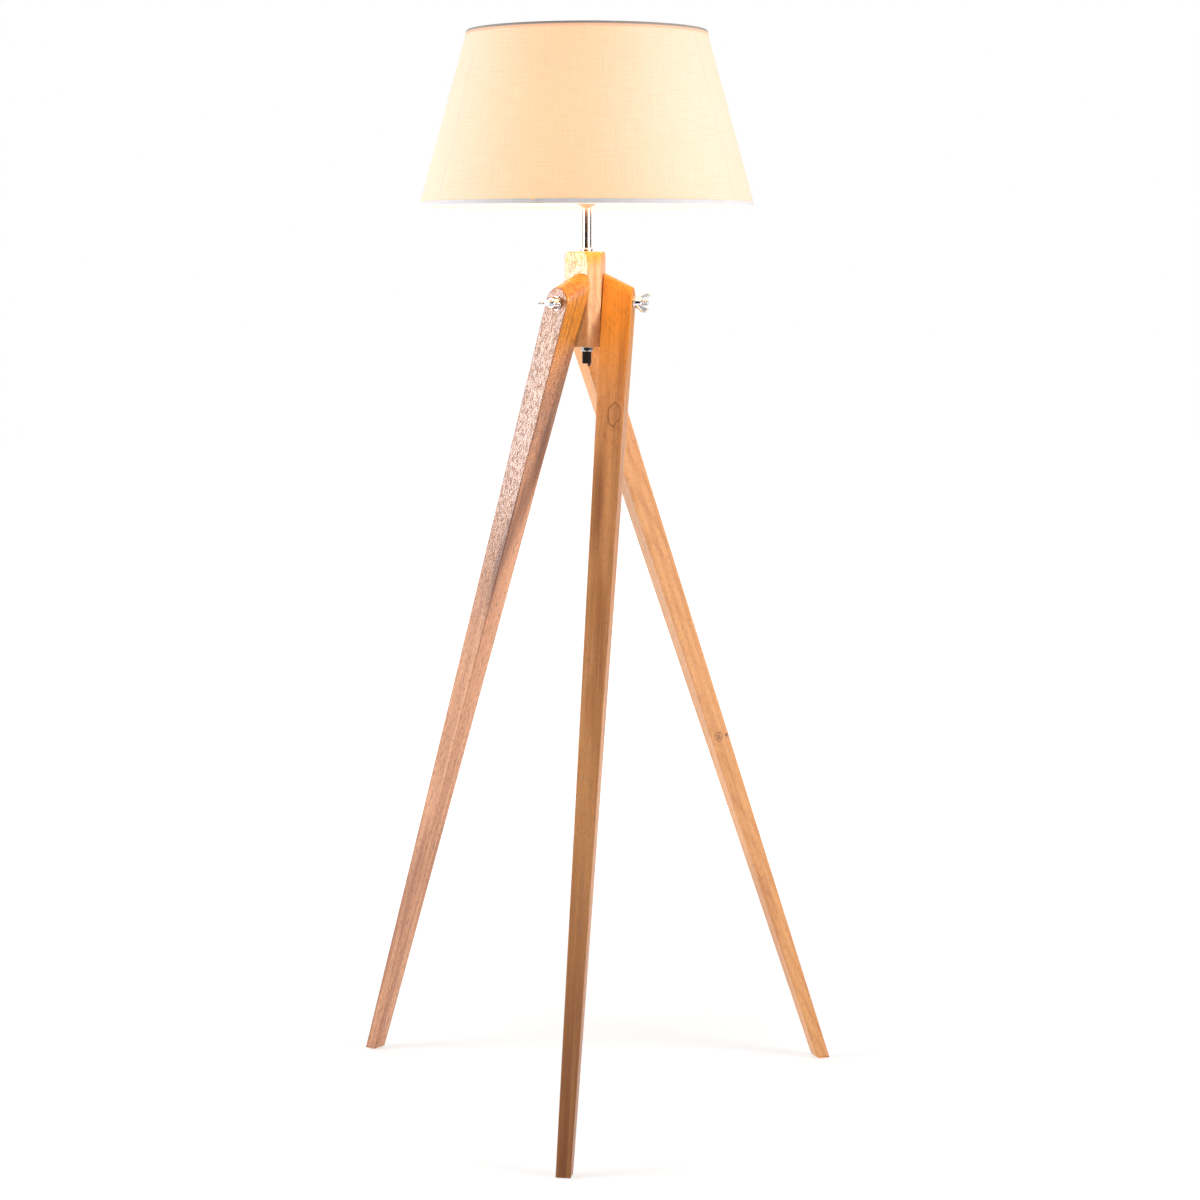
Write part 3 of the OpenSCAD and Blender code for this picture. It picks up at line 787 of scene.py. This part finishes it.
def tape(name, glow, pale, dark):
    """Woven cotton tape. glow is how much light gets through it, away from the top wire. Along the lower
    tape's bottom edge an orange glow is painted on.
    """
    tree = surface(name, Roughness=0.85, Sheen_Weight=0.2, Specular_IOR_Level=0.2)
    relief, tone, _, z = weave(tree, outer_radius("shade_bottom_binding"), 0.7 * MM)
    threads = tree.total(tree.product(relief, 0.5), tree.product(tone, 0.5))
    tree.set("Base Color", tree.mix(threads, dark, pale))
    top_edge, bottom_edge = high("shade_top_binding"), low("shade_bottom_binding")
    through = tree.range(z, top_edge - 2.2 * MM, top_edge - 4.2 * MM, 0, glow, True)
    painted_edge_glow = tree.range(z, bottom_edge + 0.4 * MM, bottom_edge + 1.2 * MM, 0.85, 0, True)
    tree.glow((1.0, 0.42, 0.15, 1), tree.total(through, painted_edge_glow))
    tree.bump(threads, 0.00016)
    return tree.owner


linen_cloth, laminate = linen(), lining()
# The top tape is the same tape as the bottom one, given darker colours as painted shade.
shaded_top_tape = tape("binding_tape_top_shaded", 0.7, colour(176, 166, 158), colour(148, 138, 130))
bottom_tape = tape("binding_tape", 0.04, colour(232, 230, 232), colour(204, 202, 204))
cover_low, cover_high = low("shade_cover"), high("shade_cover")
top_radius = max(v.co.xy.length for v in frame["nodes"]["shade_cover"].data.vertices
                 if v.co.z > cover_high - MM)
bottom_radius = outer_radius("shade_cover")
cover_t = 0.8 * MM


def cover_radius(z):
    share = (z - cover_low) / (cover_high - cover_low)
    return bottom_radius + (top_radius - bottom_radius) * share


def shade_cover():
    """The cone of cloth on laminate. Its ends lap each other at the back, over a strut."""
    lap = 0.055
    rows = []
    for along in spaced(0, TAU + lap, 360):
        angle = math.pi / 2 - lap / 2 + along
        sunk = 1 - min(1, max(0, along / lap - 1.2) / 2)
        lift = -(cover_t + 0.06 * MM) * sunk
        skin = []
        for z in levels(cover_low, cover_high, 11 * MM):
            wave = 0.14 * MM * math.sin(5 * angle + 9 * z) * math.sin(14 * z + 2 * angle)
            skin.append((cover_radius(z) - 0.20 * MM + wave + lift, z))
        rows.append([polar(r, angle, z) for r, z in skin]
                    + [polar(r - cover_t, angle, z) for r, z in reversed(skin)])
    made = piece("shade_cover_linen", tube(rows), "shade", linen_cloth, "shade_cover")
    made.data.materials.append(laminate)
    for face in made.data.polygons:
        face.material_index = int(face.normal.xy.dot(face.center.xy) < 0)
    return made


def binding(name, node, edge, fold, lap_turn, material):
    """Tape folded round an edge of the cover. Its end laps over its start."""
    inner, outer, bottom, top = extents(node)
    height = top - bottom
    slope = abs(top_radius - bottom_radius) / (cover_high - cover_low)
    reach = outer - inner - slope * height
    tape_t = 0.45 * MM
    lap = 0.05
    rows = []
    for along in spaced(0, TAU + lap, 420):
        angle = lap_turn + along
        lift = 0.50 * MM * min(1, max(0, (along - TAU + 0.6 * lap) / (0.5 * lap)))
        fray = 0.12 * MM * math.sin(37 * angle) + 0.08 * MM * math.sin(91 * angle + 1)
        mouth = fold * (height + fray)
        skin = 0.42 * MM + lift
        flare = cover_radius(edge + mouth) - cover_radius(edge)
        profile = rounded([
            (skin, 0.0), (skin + flare, mouth), (skin + flare - tape_t, mouth),
            (skin - tape_t, fold * tape_t), (skin - reach + tape_t, fold * tape_t),
            (skin - reach + flare + tape_t, mouth), (skin - reach + flare, mouth),
            (skin - reach, 0.0)], 0.9 * MM, steps=3)
        rows.append([polar(cover_radius(edge) + r, angle, edge + z) for r, z in profile])
    return piece(name, tube(rows, quads=False), "shade", material, node, slot="binding_tape")


cover = shade_cover()
front_lap = math.radians(253)
tapes = [binding("shade_top_tape", "shade_top_binding", high("shade_top_binding"), -1,
                 math.radians(100), shaded_top_tape),
         binding("shade_bottom_tape", "shade_bottom_binding", low("shade_bottom_binding"), 1,
                 front_lap, bottom_tape)]


# ---- Shade frame ----

def hoop(name, node):
    """A ring of round wire. Gives back the radius and the height of its middle line."""
    _, outer, bottom, top = extents(node)
    wire_r, z = (top - bottom) / 2, (bottom + top) / 2
    section = arc((outer - wire_r, z), wire_r, 0, 360, 14)[:-1]
    piece(name, turned(section, 240), "shade", wire_paint, node)
    return outer - wire_r, z


def blob(centre, radius, squash=1.0):
    """A small weld bead, flatter along Z by the squash."""
    section = [(radius * math.sin(math.pi * k / 8), -radius * squash * math.cos(math.pi * k / 8))
               for k in range(9)]
    return placed(turned(section, 12, closed=False), Matrix.Translation(centre))


top_wire_r, top_wire_z = hoop("shade_top_wire_hoop", "shade_top_wire")
bottom_wire_r, bottom_wire_z = hoop("shade_bottom_wire_hoop", "shade_bottom_wire")
strut_parts, arm_parts = [], []
arm_inner = outer_radius("fitter_ring") - 0.8 * MM
fitter_z = (low("fitter_ring") + high("fitter_ring")) / 2
arm_outer_z = low("spider_arms") + 1.75 * MM
arm_share = (arm_outer_z - bottom_wire_z) / (top_wire_z - bottom_wire_z)
arm_outer = bottom_wire_r + (top_wire_r - bottom_wire_r) * arm_share - 1.5 * MM
for turn in strut_turns:
    foot, head = polar(bottom_wire_r, turn, bottom_wire_z), polar(top_wire_r, turn, top_wire_z)
    strut_parts.append(swept([foot.lerp(head, t / 12) for t in range(13)], 1.5 * MM))
    strut_parts += [blob(foot, 2.3 * MM), blob(head, 2.3 * MM)]
    inner, outer = polar(arm_inner, turn, fitter_z), polar(arm_outer, turn, arm_outer_z)
    arm_parts.append(swept([inner.lerp(outer, t / 16) - UP * 0.6 * MM * math.sin(math.pi * t / 16)
                            for t in range(17)], 1.75 * MM))
    arm_parts += [blob(inner, 2.4 * MM, 0.8), blob(outer, 2.5 * MM)]
piece("shade_strut_wires", joined(*strut_parts), "shade", wire_paint, "shade_struts")
piece("spider_arm_wires", joined(*arm_parts), "shade", wire_paint, "spider_arms")


def ring_section(inner, outer, bottom, top):
    return [(inner, bottom), (outer, bottom), (outer, top), (inner, top)]


fitter = ring_section(*extents("fitter_ring"))
piece("fitter_plate", turned(rounded(fitter, 0.7 * MM), 120), "shade", wire_paint, "fitter_ring")


# ---- Lampholder ----

bore_r = inner_radius("stem_tube")


def flutes(count, first, last, at_radius, depth):
    """A warp that hollows shallow grip flutes between two heights."""
    def cut(angle, r, z):
        if r < at_radius or not first <= z <= last:
            return r, z
        edge = min(1, (z - first) / (1.2 * MM), (last - z) / (1.2 * MM))
        return r - depth * edge * (0.5 + 0.5 * math.cos(count * angle)) ** 2, z
    return cut


def holder_cap():
    _, cap_r, bottom, top = extents("holder_cap")
    wall = 1.8 * MM
    corner_r, corner_z = 9 * MM, bottom + 13.2 * MM
    centre = (cap_r - corner_r, corner_z)
    outside = [(bore_r + 1.5 * MM, bottom), (bore_r + 1.5 * MM, bottom + 1.4 * MM)]
    outside += arc(centre, corner_r, -66, 0, 12)
    outside += upright(cap_r, corner_z + MM, top - 1.5 * MM, 0.6 * MM) + [(cap_r, top)]
    inside = [(cap_r - wall, top), (cap_r - wall, corner_z)]
    inside += arc(centre, corner_r - wall, -8, -66, 8)
    inside += [(11 * MM, bottom + 5 * MM), (bore_r, bottom + 5 * MM), (bore_r, bottom)]
    warp = flutes(48, corner_z + 2 * MM, top - 2.4 * MM, cap_r - 0.1 * MM, 0.55 * MM)
    piece("holder_bowl", turned(outside + inside, 240, warp=warp), "stand", cream_plastic,
          "holder_cap")


def holder_skirt():
    inner, outer, bottom, top = extents("holder_skirt")
    section = upright(outer, bottom, top - 0.5 * MM, 0.36 * MM)
    section += [(outer - 0.5 * MM, top), (inner + 0.4 * MM, top), (inner, top - 0.4 * MM),
                (inner, bottom)]
    warp = thread(outer, 0.75 * MM, 2.5 * MM, bottom + 0.5 * MM, top - 0.8 * MM)
    piece("holder_thread_skirt", turned(section, 96, warp=warp), "stand", cream_plastic,
          "holder_skirt")


def clamp_ring(name, node, body, flange_low):
    """Finger ring with a notched flange, its flange below or above its collar."""
    inner, outer, bottom, top = extents(node)
    collar, flange = inner + 3.2 * MM, 2.6 * MM
    section = [(inner, 0), (outer, 0), (outer, flange), (collar, flange), (collar, top - bottom),
               (inner, top - bottom)]
    if not flange_low:
        section = [(r, top - bottom - z) for r, z in section]
    section = rounded([(r, bottom + z) for r, z in section], 0.55 * MM, steps=4)

    def notches(angle, r, z):
        share = max(0.0, (r - collar) / (outer - collar))
        dip = max(0.0, math.cos(18 * angle)) ** 3
        return r - 1.25 * MM * share * dip, z
    piece(name, turned(section, 288, warp=notches), body, cream_plastic, node)


def rolled(depth, crest, first, last, ease, least_r=0):
    """A warp that rolls a lamp's 3.6 mm thread into a wall. crest is 1 if the wall's radius is
    that of its crests, and 0 if it is that of its middle. The thread fades out over the ease."""
    def roll(angle, r, z):
        if r < least_r or not first <= z <= last:
            return r, z
        wave = depth * (math.sin(TAU * (z / (3.6 * MM) - angle / TAU)) - crest)
        return r + wave * min(1, (z - first) / ease, (last - z) / ease), z
    return roll


def screw_shell():
    inner, outer, bottom, top = extents("screw_shell")
    section = upright(outer, bottom, top, 0.45 * MM) + upright(inner + 0.25 * MM, top, bottom, 0.45 * MM)
    warp = rolled(0.3 * MM, 0, bottom, top, 3 * MM)
    piece("holder_screw_shell", turned(section, 96, warp=warp), "stand", brass, "screw_shell")


holder_cap()
holder_skirt()
clamp_ring("shade_support_ring", "support_ring", "stand", False)
clamp_ring("shade_clamp_ring", "shade_ring", "shade_ring", True)
screw_shell()
for node, material, edge in (("holder_locknut", brass, 0.3), ("holder_insert", ceramic, 0.25),
                             ("holder_terminals", brass, 0.3), ("terminal_screws", zinc, 0.12),
                             ("centre_contact", brass, 0.08), ("threaded_tube", tube_steel, 0)):
    dress(node, material, edge * MM)


# ---- Bulb ----

def bulb():
    _, globe_r, bottom, top = extents("bulb_glass")
    neck_r, globe_z = 13.8 * MM, top - globe_r
    # The neck opens in a smooth curve that meets the globe where their slopes agree
    join = math.radians(-34)
    meet = Vector((globe_r * math.cos(join), globe_z + globe_r * math.sin(join)))
    slope = Vector((-math.sin(join), math.cos(join)))
    neck = [(neck_r, bottom + 5 * MM), (neck_r, bottom + 18 * MM), meet - slope * 15 * MM, meet]
    outline = [(neck_r, bottom)] + [tuple(point) for point in bezier(neck, 16)[:-1]]
    globe = arc((0, globe_z), globe_r, math.degrees(join), 90, 24)
    outline += [(max(0, r), z) for r, z in globe]
    wall = 0.7 * MM
    inside = [(max(0, r - wall), z - (wall if r < 1e-9 else 0)) for r, z in reversed(outline)]
    piece("bulb_envelope", turned(outline + inside, 96), "bulb", frosted, "bulb_glass")

    _, rim_r, bottom, top = extents("bulb_cap")
    crest = 13.1 * MM
    thread_low, thread_high = bottom + 1.5 * MM, top - 5 * MM
    section = [(9 * MM, bottom), (11.6 * MM, bottom)]
    section += upright(crest, thread_low, thread_high, 0.4 * MM)
    section += [(rim_r, top - 3.5 * MM), (rim_r, top), (neck_r + 0.05 * MM, top),
                (neck_r + 0.05 * MM, top - 3.1 * MM)]
    section += upright(crest - 0.5 * MM, thread_high, thread_low, 0.4 * MM)
    section.append((9 * MM, bottom + 0.5 * MM))
    warp = rolled(0.38 * MM, 1, thread_low, thread_high, 2 * MM, least_r=12.4 * MM)
    piece("bulb_screw_cap", turned(section, 96, warp=warp), "bulb", cap_metal, "bulb_cap")

    rings = [(4.9, 0), (8.9, 3.4), (8.9, 5), (2, 5), (2, 1.3), (4.9, 1.3)]
    piece("bulb_insulator_ring", turned(rounded(in_mm(rings, low("bulb_insulator")), 0.4 * MM)),
          "bulb", black_glass, "bulb_insulator")
    button = [(0, 0), (2.4, 0.05), (3.8, 0.35), (4.8, 1.2), (4.8, 2.2), (0, 2.2)]
    piece("bulb_solder_contact", turned(in_mm(button, low("bulb_contact")), 48, False), "bulb",
          cap_metal, "bulb_contact")
    mount = [(0, 0.5), (13, 0.5), (13, 1.2), (9, 3.4), (5.4, 7), (3.2, 11), (2.5, 15), (2.5, 31),
             (3.2, 32.6), (4, 34), (4.2, 35.5), (4, 37), (3, 38.5), (0, 39)]
    mount = rounded(in_mm(mount, low("bulb_stem") - 0.5 * MM), 0.8 * MM, closed=False)
    piece("bulb_glass_mount", turned(mount, 48, False), "bulb", glass, "bulb_stem")

    ring_z, ring_r = high("bulb_filament") - 0.6 * MM, 11 * MM
    turns, per_turn = 110, 10
    coil = []
    for share in spaced(0, 1, turns * per_turn):
        around = math.radians(20 + 320 * share)
        twist = TAU * turns * share
        r = ring_r + 0.42 * MM * math.cos(twist)
        coil.append(polar(r, around, ring_z + 0.42 * MM * math.sin(twist)))
    parts = [swept(coil, 0.12 * MM, 6)]
    for turn in (20, 120, 240, 340):
        a = math.radians(turn)
        foot, head = polar(2 * MM, a, ring_z - 12 * MM), polar(ring_r, a, ring_z)
        bow = polar(7.5 * MM, a, ring_z - 8.5 * MM)
        parts.append(swept(bezier([foot, bow, head], 10), 0.3 * MM, 8))
    piece("bulb_coil", joined(*parts), "bulb", tungsten, "bulb_filament")


bulb()


# ---- Stem and cord outlet ----

def hexagon(flats, bottom, top, chamfer=0.6 * MM):
    """A warp that makes a turned section a hexagon nut with its corners bevelled."""
    half = flats / 2

    def cut(angle, r, z):
        if r < half - 1e-6:
            return r, z
        to_flat = (angle % (TAU / 6)) - TAU / 12
        reach = half / math.cos(to_flat)
        bevel = chamfer + (reach - half) * 0.55
        share = min(1, max(0, min(z - bottom, top - z) / bevel))
        return half + (reach - half) * share, z
    return cut


stem = ring_section(*extents("stem_tube"))
piece("stem_tube_chrome", turned(rounded(stem, 0.35 * MM, support=0.4 * MM), 128), "stand",
      glow_tinted_stem_chrome, "stem_tube", slot="chrome")
collar_z, collar_r = low("stem_collar"), outer_radius("stem_collar")
collar = [(bore_r, 0), (collar_r, 0), (collar_r, 3.3 * MM), (collar_r - 0.5 * MM, 4.2 * MM),
          (collar_r - 1.3 * MM, 4.8 * MM), (bore_r, 4.8 * MM)]
piece("stem_collar_ring", turned(rounded([(r, collar_z + z) for r, z in collar], 0.4 * MM), 128),
      "stand", chrome, "stem_collar")

nut_low, nut_high = low("bottom_nut"), high("bottom_nut")
nut_flats = 14 * MM
nut = [(bore_r, nut_low), *upright(nut_flats / 2, nut_low, nut_high, 0.25 * MM), (bore_r, nut_high)]
piece("stem_hex_nut", turned(nut, 192, warp=hexagon(nut_flats, nut_low, nut_high)), "stand",
      chrome, "bottom_nut", sharp=25)


def cord_grip():
    """Black grip with moulded ribs. Its bore is wider on the side where the wedge sits."""
    _, outer, bottom, top = extents("cord_grip")
    cord_r, jaw_r = 3.25 * MM, 5.25 * MM
    seat = bottom + 7 * MM
    section = [(outer - 0.5 * MM, bottom), (outer, bottom + 0.5 * MM)]
    section += upright(outer, bottom + MM, top - MM, 0.4 * MM)
    section += [(outer, top - 0.5 * MM), (outer - 0.5 * MM, top), (bore_r, top), (bore_r, seat),
                (cord_r, seat), (cord_r, seat - 0.5 * MM), (cord_r, bottom)]

    def ribs(angle, r, z):
        if r > outer - 1e-6:
            edge = min(1, (z - bottom) / MM, (top - z) / MM)
            return r - 0.5 * MM * edge * max(0, math.cos(12 * angle)) ** 2, z
        if r < cord_r + 1e-6 and z < seat - 0.2 * MM:
            side = abs((angle + math.pi) % TAU - math.pi)
            open_share = min(1, max(0, (math.radians(84) - side) / math.radians(5)))
            return r + (jaw_r - cord_r) * open_share, z
        return r, z
    piece("cord_grip_barrel", turned(section, 288, warp=ribs), "stand", black_plastic, "cord_grip")


def grip_wedge():
    """Serrated wedge that pinches the cord."""
    bottom, top = low("grip_wedge"), high("grip_wedge")
    inner, outer, reach = 3.3 * MM, 5.1 * MM, math.radians(76)
    rows = []
    for z in levels(bottom, top, 0.35 * MM):
        end = min(z - bottom, top - z)
        shrink = 0.35 * MM * max(0, 1 - end / (0.35 * MM))
        tooth = 0.22 * MM * abs(math.sin(math.pi * (z - bottom) / (1.6 * MM)))
        turns = spaced(-reach, reach, 20)
        rows.append([polar(outer - shrink, turn, z) for turn in turns]
                    + [polar(inner + shrink + tooth, -0.96 * turn, z) for turn in turns])
    piece("cord_grip_wedge", tube(rows), "stand", black_plastic, "grip_wedge")


cord_grip()
grip_wedge()


# ---- Leg bolts, washers and wing nuts ----

disc_t = 0.9 * MM


def hanger_bolt(side):
    start, end = span(f"hanger_bolt_{side}", bolt_axis[side])
    hub_face = span("spacer_discs", bolt_axis[side])[1] - disc_t
    leg_face = span(f"washer_{side}", bolt_axis[side])[0]
    length, in_hub, threaded = end - start, hub_face - start, leg_face - start - 8 * MM
    # The plain shank is a trace thinner than the threads' crests
    shank_r = bolt_r - 0.001 * MM
    section = [(0, 0), (1.6 * MM, 0.6 * MM)]
    section += upright(bolt_r, 2.5 * MM, in_hub - MM, 0.4 * MM)
    section += [(shank_r, in_hub), (shank_r, threaded - MM)]
    section += upright(bolt_r, threaded, length - 0.9 * MM, 0.16 * MM)
    section += [(bolt_r - 0.8 * MM, length), (0, length)]
    wood_thread = thread(bolt_r, 0.9 * MM, 3 * MM, 2.5 * MM, in_hub - MM)
    machine_thread = thread(bolt_r, 0.62 * MM, 1.25 * MM, threaded, length - 0.5 * MM)

    def warp(angle, radius, z):
        return (wood_thread if z < in_hub else machine_thread)(angle, radius, z)
    piece(f"leg_bolt_{side}", turned(section, 40, False, warp), "stand", zinc,
          f"hanger_bolt_{side}", along_bolt(side, start))


def flat_ring(inner, thick):
    """A washer or a disc, 18 mm across."""
    return turned(rounded(ring_section(inner, 9 * MM, 0, thick), 0.25 * MM))


def wing_nut_shape():
    """A cast nut in its own frame: a turned body and two wings, melted into one surface."""
    body = [(4.35, 0), (7.9, 0), (8.5, 0.6), (8.5, 2), (7.6, 5), (6.6, 9.2), (5.8, 10), (4.35, 10)]
    parts = [turned(in_mm(body), 96)]
    outline = [(5.2, 1.2), (8.4, 1.8), (12.4, 6.6), (17.2, 9.6), (19.2, 12.4), (19.5, 15.2),
               (18.2, 18.6), (15.2, 20.0), (12.0, 19.0), (10.2, 15.8), (8.0, 11.2), (5.2, 9.4)]
    outline = rounded(outline, 2.6, steps=4)
    for side in (1, -1):
        rows = []
        for share in (-1, -0.8, 0.8, 1):
            drawn_in = 0.35 if abs(share) == 1 else 0.0
            rows.append([(share * (1.9 - 0.045 * y) * MM, side * (y - drawn_in * (y - 12) / 8) * MM,
                          (z - drawn_in * (z - 10) / 9) * MM) for y, z in outline])
        parts.append(tube(rows, quads=False))
    nut = solid("scratch", joined(*parts))
    melt = nut.modifiers.new("melt", "REMESH")
    melt.mode = "VOXEL"
    melt.voxel_size = 0.42 * MM
    calm = nut.modifiers.new("calm", "SMOOTH")
    calm.factor = 0.6
    calm.iterations = 9
    return result(nut)


nut_shape = wing_nut_shape()
for side in SIDES:
    hanger_bolt(side)
    washer_start, washer_end = span(f"washer_{side}", bolt_axis[side])
    piece(f"washer_plate_{side}", flat_ring(bolt_r + 0.1 * MM, washer_end - washer_start),
          f"washer_{side}", chrome, f"washer_{side}", along_bolt(side, washer_start))
    nut_start = span(f"wing_nut_{side}", bolt_axis[side])[0]
    piece(f"wing_nut_cast_{side}", nut_shape, f"wing_nut_{side}", chrome, f"wing_nut_{side}",
          along_bolt(side, nut_start, wing_turn[side]), sharp=180)
discs = [placed(flat_ring(bolt_r + 0.05 * MM, disc_t),
                along_bolt(side, span("spacer_discs", bolt_axis[side])[1] - disc_t)) for side in SIDES]
piece("leg_spacer_discs", joined(*discs), "stand", fibre, "spacer_discs")


# ---- Stage, lights and camera ----

def light(name, kind, place, power, tint=(1, 1, 1), aim=None, **settings):
    data = bpy.data.lights.new(name, kind)
    data.energy = power
    data.color = tint
    for setting, value in settings.items():
        setattr(data, setting, value)
    made = linked(name, data)
    made.location = place
    if aim:
        made.rotation_euler = (Vector(aim) - Vector(place)).to_track_quat("-Z", "Y").to_euler()
    return made


def soft_box(name, place, aim, width, height, power, tint=(1, 1, 1)):
    light(name, "AREA", place, power, tint, aim, shape="RECTANGLE", size=width, size_y=height)


def floor():
    """A plain pale floor, nearly white under the studio's lights."""
    data = bpy.data.meshes.new("floor")
    far, front = 14, -4.5
    corners = [(-far, front, 0), (far, front, 0), (far, far, 0), (-far, far, 0)]
    data.from_pydata(corners, [], [(0, 1, 2, 3)])
    tree = surface("floor_paint", Roughness=0.7, Specular_IOR_Level=0.1)
    cloud = tree.noise(tree.coordinates(), 1.5, detail=3)
    tree.set("Base Color", tree.mix(cloud, (0.46, 0.46, 0.46, 1), (0.44, 0.44, 0.44, 1)))
    away = tree.add("VectorMath", {0: tree.coordinates()}, operation="LENGTH").outputs["Value"]
    tree.glow((1, 1, 1, 1), tree.range(away, 0.3, 2.2, 0.62, 1.0, True))
    data.materials.append(tree.owner)
    made = linked("floor", data)
    made.location.z = -0.5 * MM


def studio():
    """A white room that is dark on the camera's side, with a soft box on each side."""
    world = bpy.data.worlds.new("studio")
    bpy.context.scene.world = world
    tree = Tree(world, "Background", Color=(1, 1, 1, 1))
    x, y, z = tree.split(tree.add("TexCoord").outputs["Generated"])
    depth = tree.range(y, -0.2, 0.5, 0.05, 0.75, True)
    side = tree.range(x, -0.3, 0.9, 1.0, 0.25)
    ceiling = tree.range(z, 0.3, 1.0, 0.0, 0.3)
    room = tree.total(tree.product(depth, side), ceiling)
    seen = tree.add("LightPath").outputs["Is Camera Ray"]
    tree.set("Strength", tree.add("Mix", {0: seen, 2: room, 3: 1.0}).outputs[0])
    soft_box("left_box", (-2.3, -0.45, 1.02), (0, 0, 0.75), 0.95, 1.0, 44, (0.95, 0.98, 1.0))
    soft_box("right_box", (2.15, -0.95, 1.0), (0, 0, 0.7), 0.8, 1.3, 38, (1.0, 0.99, 0.99))
    soft_box("front_panel", (1.85, -2.35, 1.4), (0, 0, 1.1), 2.0, 1.2, 8)
    light("shade_beam", "SPOT", (1.3, -2.6, 1.7), 70, aim=(0.09, -0.1, 1.35),
          spot_size=math.radians(10), spot_blend=1.0, shadow_soft_size=0.1)
    globe_middle = (0, 0, high("bulb_glass") - outer_radius("bulb_glass"))
    glow = light("shade_glow", "POINT", globe_middle, 3.5, (1.0, 0.40, 0.02), shadow_soft_size=0.12)
    glow.visible_camera = False
    glow.visible_glossy = False
    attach(glow, "bulb")


def camera():
    data = bpy.data.cameras.new("camera")
    data.sensor_width = 36
    data.lens = 83.88
    data.shift_x = 0.011
    made = linked("camera", data)
    made.location = (0, -3.7728, 1.1295)
    made.rotation_euler = (math.radians(90 - 6.746), 0, 0)
    bpy.context.scene.camera = made


floor()
studio()
camera()
bpy.context.scene.view_settings.view_transform = "Standard"
